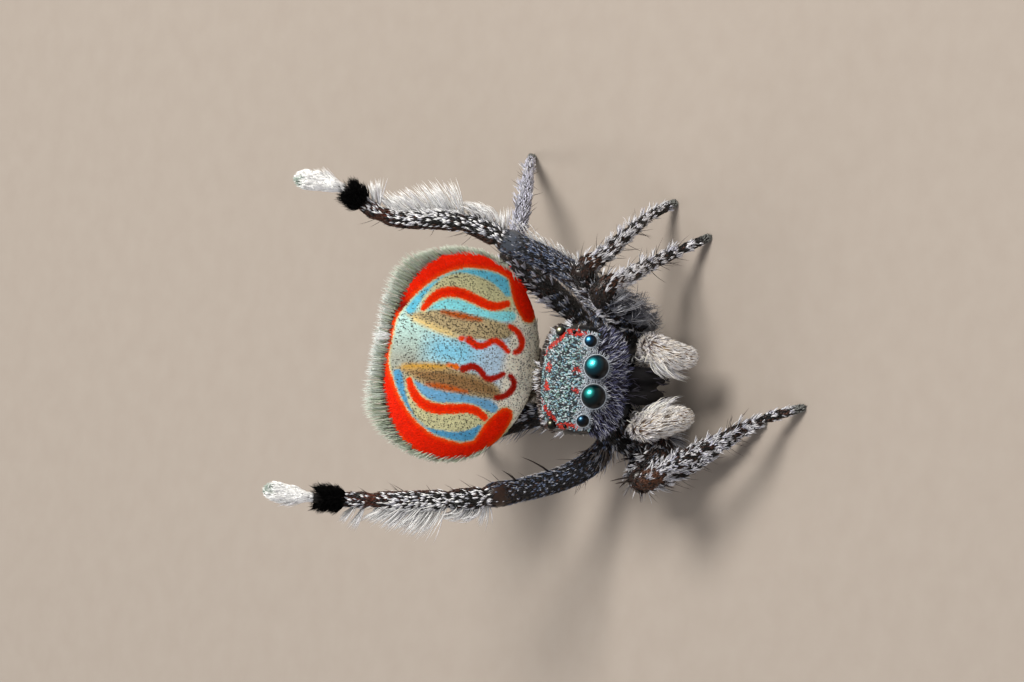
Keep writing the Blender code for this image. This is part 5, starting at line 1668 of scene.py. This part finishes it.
# %% Spines and claws
SPINES = (
    # leg, place along it, degrees round from its aim, rise, length
    ("leg_3_right", 2.42, 165, 54, 0.60), ("leg_3_right", 2.74, 160, 54, 0.38), ("leg_3_right", 2.88, 150, 36, 0.18),
    ("leg_3_left", 2.35, 170, 55, 0.42), ("leg_3_left", 2.75, 150, 55, 0.34),
    ("leg_1_right", 2.82, 40, 75, 0.36), ("leg_1_right", 2.95, 10, 80, 0.32), ("leg_1_right", 2.70, -20, 70, 0.30),
    ("leg_1_right", 3.05, 70, 70, 0.24), ("leg_1_right", 3.60, 120, 70, 0.26), ("leg_1_right", 2.4, 0, 60, 0.30),
    ("leg_1_left", 2.4, 20, 60, 0.32), ("leg_1_left", 2.8, -30, 65, 0.26), ("leg_2_left", 2.4, 20, 60, 0.30),
    ("leg_2_left", 2.8, -20, 65, 0.26), ("leg_2_right", 2.4, 0, 60, 0.30), ("leg_2_right", 2.8, 40, 65, 0.26),
    ("leg_4_left", 1.9, 10, 60, 0.28), ("leg_4_left", 2.3, -10, 60, 0.32), ("leg_4_left", 2.7, 20, 60, 0.26),
    ("leg_4_right", 2.2, 10, 60, 0.32), ("leg_4_right", 2.7, -20, 60, 0.26),
)
SPINE_WIDTH = 0.036
SPIKE = tuft_shape((0.0, 0.3, 0.6, 0.85, 1.0), (1.0, 0.85, 0.6, 0.3, 0.0), sides=6)
CLAW = tuft_shape((0.0, 0.25, 0.5, 0.75, 1.0), (1.0, 0.9, 0.7, 0.4, 0.0), sides=6)
spine_finish = tinted("black_bristle", {"Roughness": 0.32, "IOR": 1.56, "Coat Weight": 0.3}, 0.05, 0.2, 0.02, 0.0)

spines = []
for index, (name, place, degrees, steep, long) in enumerate(SPINES):
    limb = limbs[name]
    t = np.array((place,))
    turn = np.radians(np.array((float(degrees),)))
    normal = limb.side(t, turn)
    tint = linear("#0D0A09")[None]
    spines.append(grow(SPIKE, limb.point(t) + normal * limb.radius(t)[:, None] * 0.8, normal, limb.heading(t),
                       long, SPINE_WIDTH, steep, tint, linear("#2A1710")[None],
                       np.array(((index / 30 + 0.05, place / 8),)), thick=1.0, curl=0.35))
# Thinner dark hairs all along the legs, between the scales.
draw = np.random.default_rng(SEED + 50)
for index, name in enumerate(LEG_JOINTS):
    limb = limbs[name]
    count = 70
    t = draw.uniform(1.2, 6.0 if not name.startswith("leg_3") else 5.3, count)
    turn = draw.uniform(-math.pi, math.pi, count)
    normal = limb.side(t, turn)
    tint = np.tile(linear("#17110F"), (count, 1))
    spines.append(grow(HAIR, limb.point(t) + normal * limb.radius(t)[:, None] * 0.9, normal, limb.heading(t),
                       draw.uniform(0.16, 0.34, count), draw.uniform(0.008, 0.012, count),
                       draw.uniform(35, 70, count), tint, linear("#3A2A22") + tint * 0,
                       leg_patch(index, 8, t, turn), thick=0.9, curl=0.3, sway=draw.normal(0, 0.1, count)))
# Two hooked claws at the tip of each foot, half hidden in its tuft.
for index, name in enumerate(LEG_JOINTS):
    limb = limbs[name]
    t = np.full(2, 6.97 if not name.startswith("leg_3") else RAISED_FOOT_END)
    first, second = limb.sides(t)
    normal = unit(first * 0.8 + second * np.array(((0.6,), (-0.6,))))
    tint = np.tile(linear("#1A100B"), (2, 1))
    spines.append(grow(CLAW, limb.point(t) + limb.heading(t) * 0.03, normal, limb.heading(t), 0.11, 0.022, 20,
                       tint, tint, np.array(((0.9, index / 9 + 0.05), (0.95, index / 9 + 0.05))), thick=1.0,
                       curl=3.0))
coat_piece("spines_and_claws", spines, spine_finish)
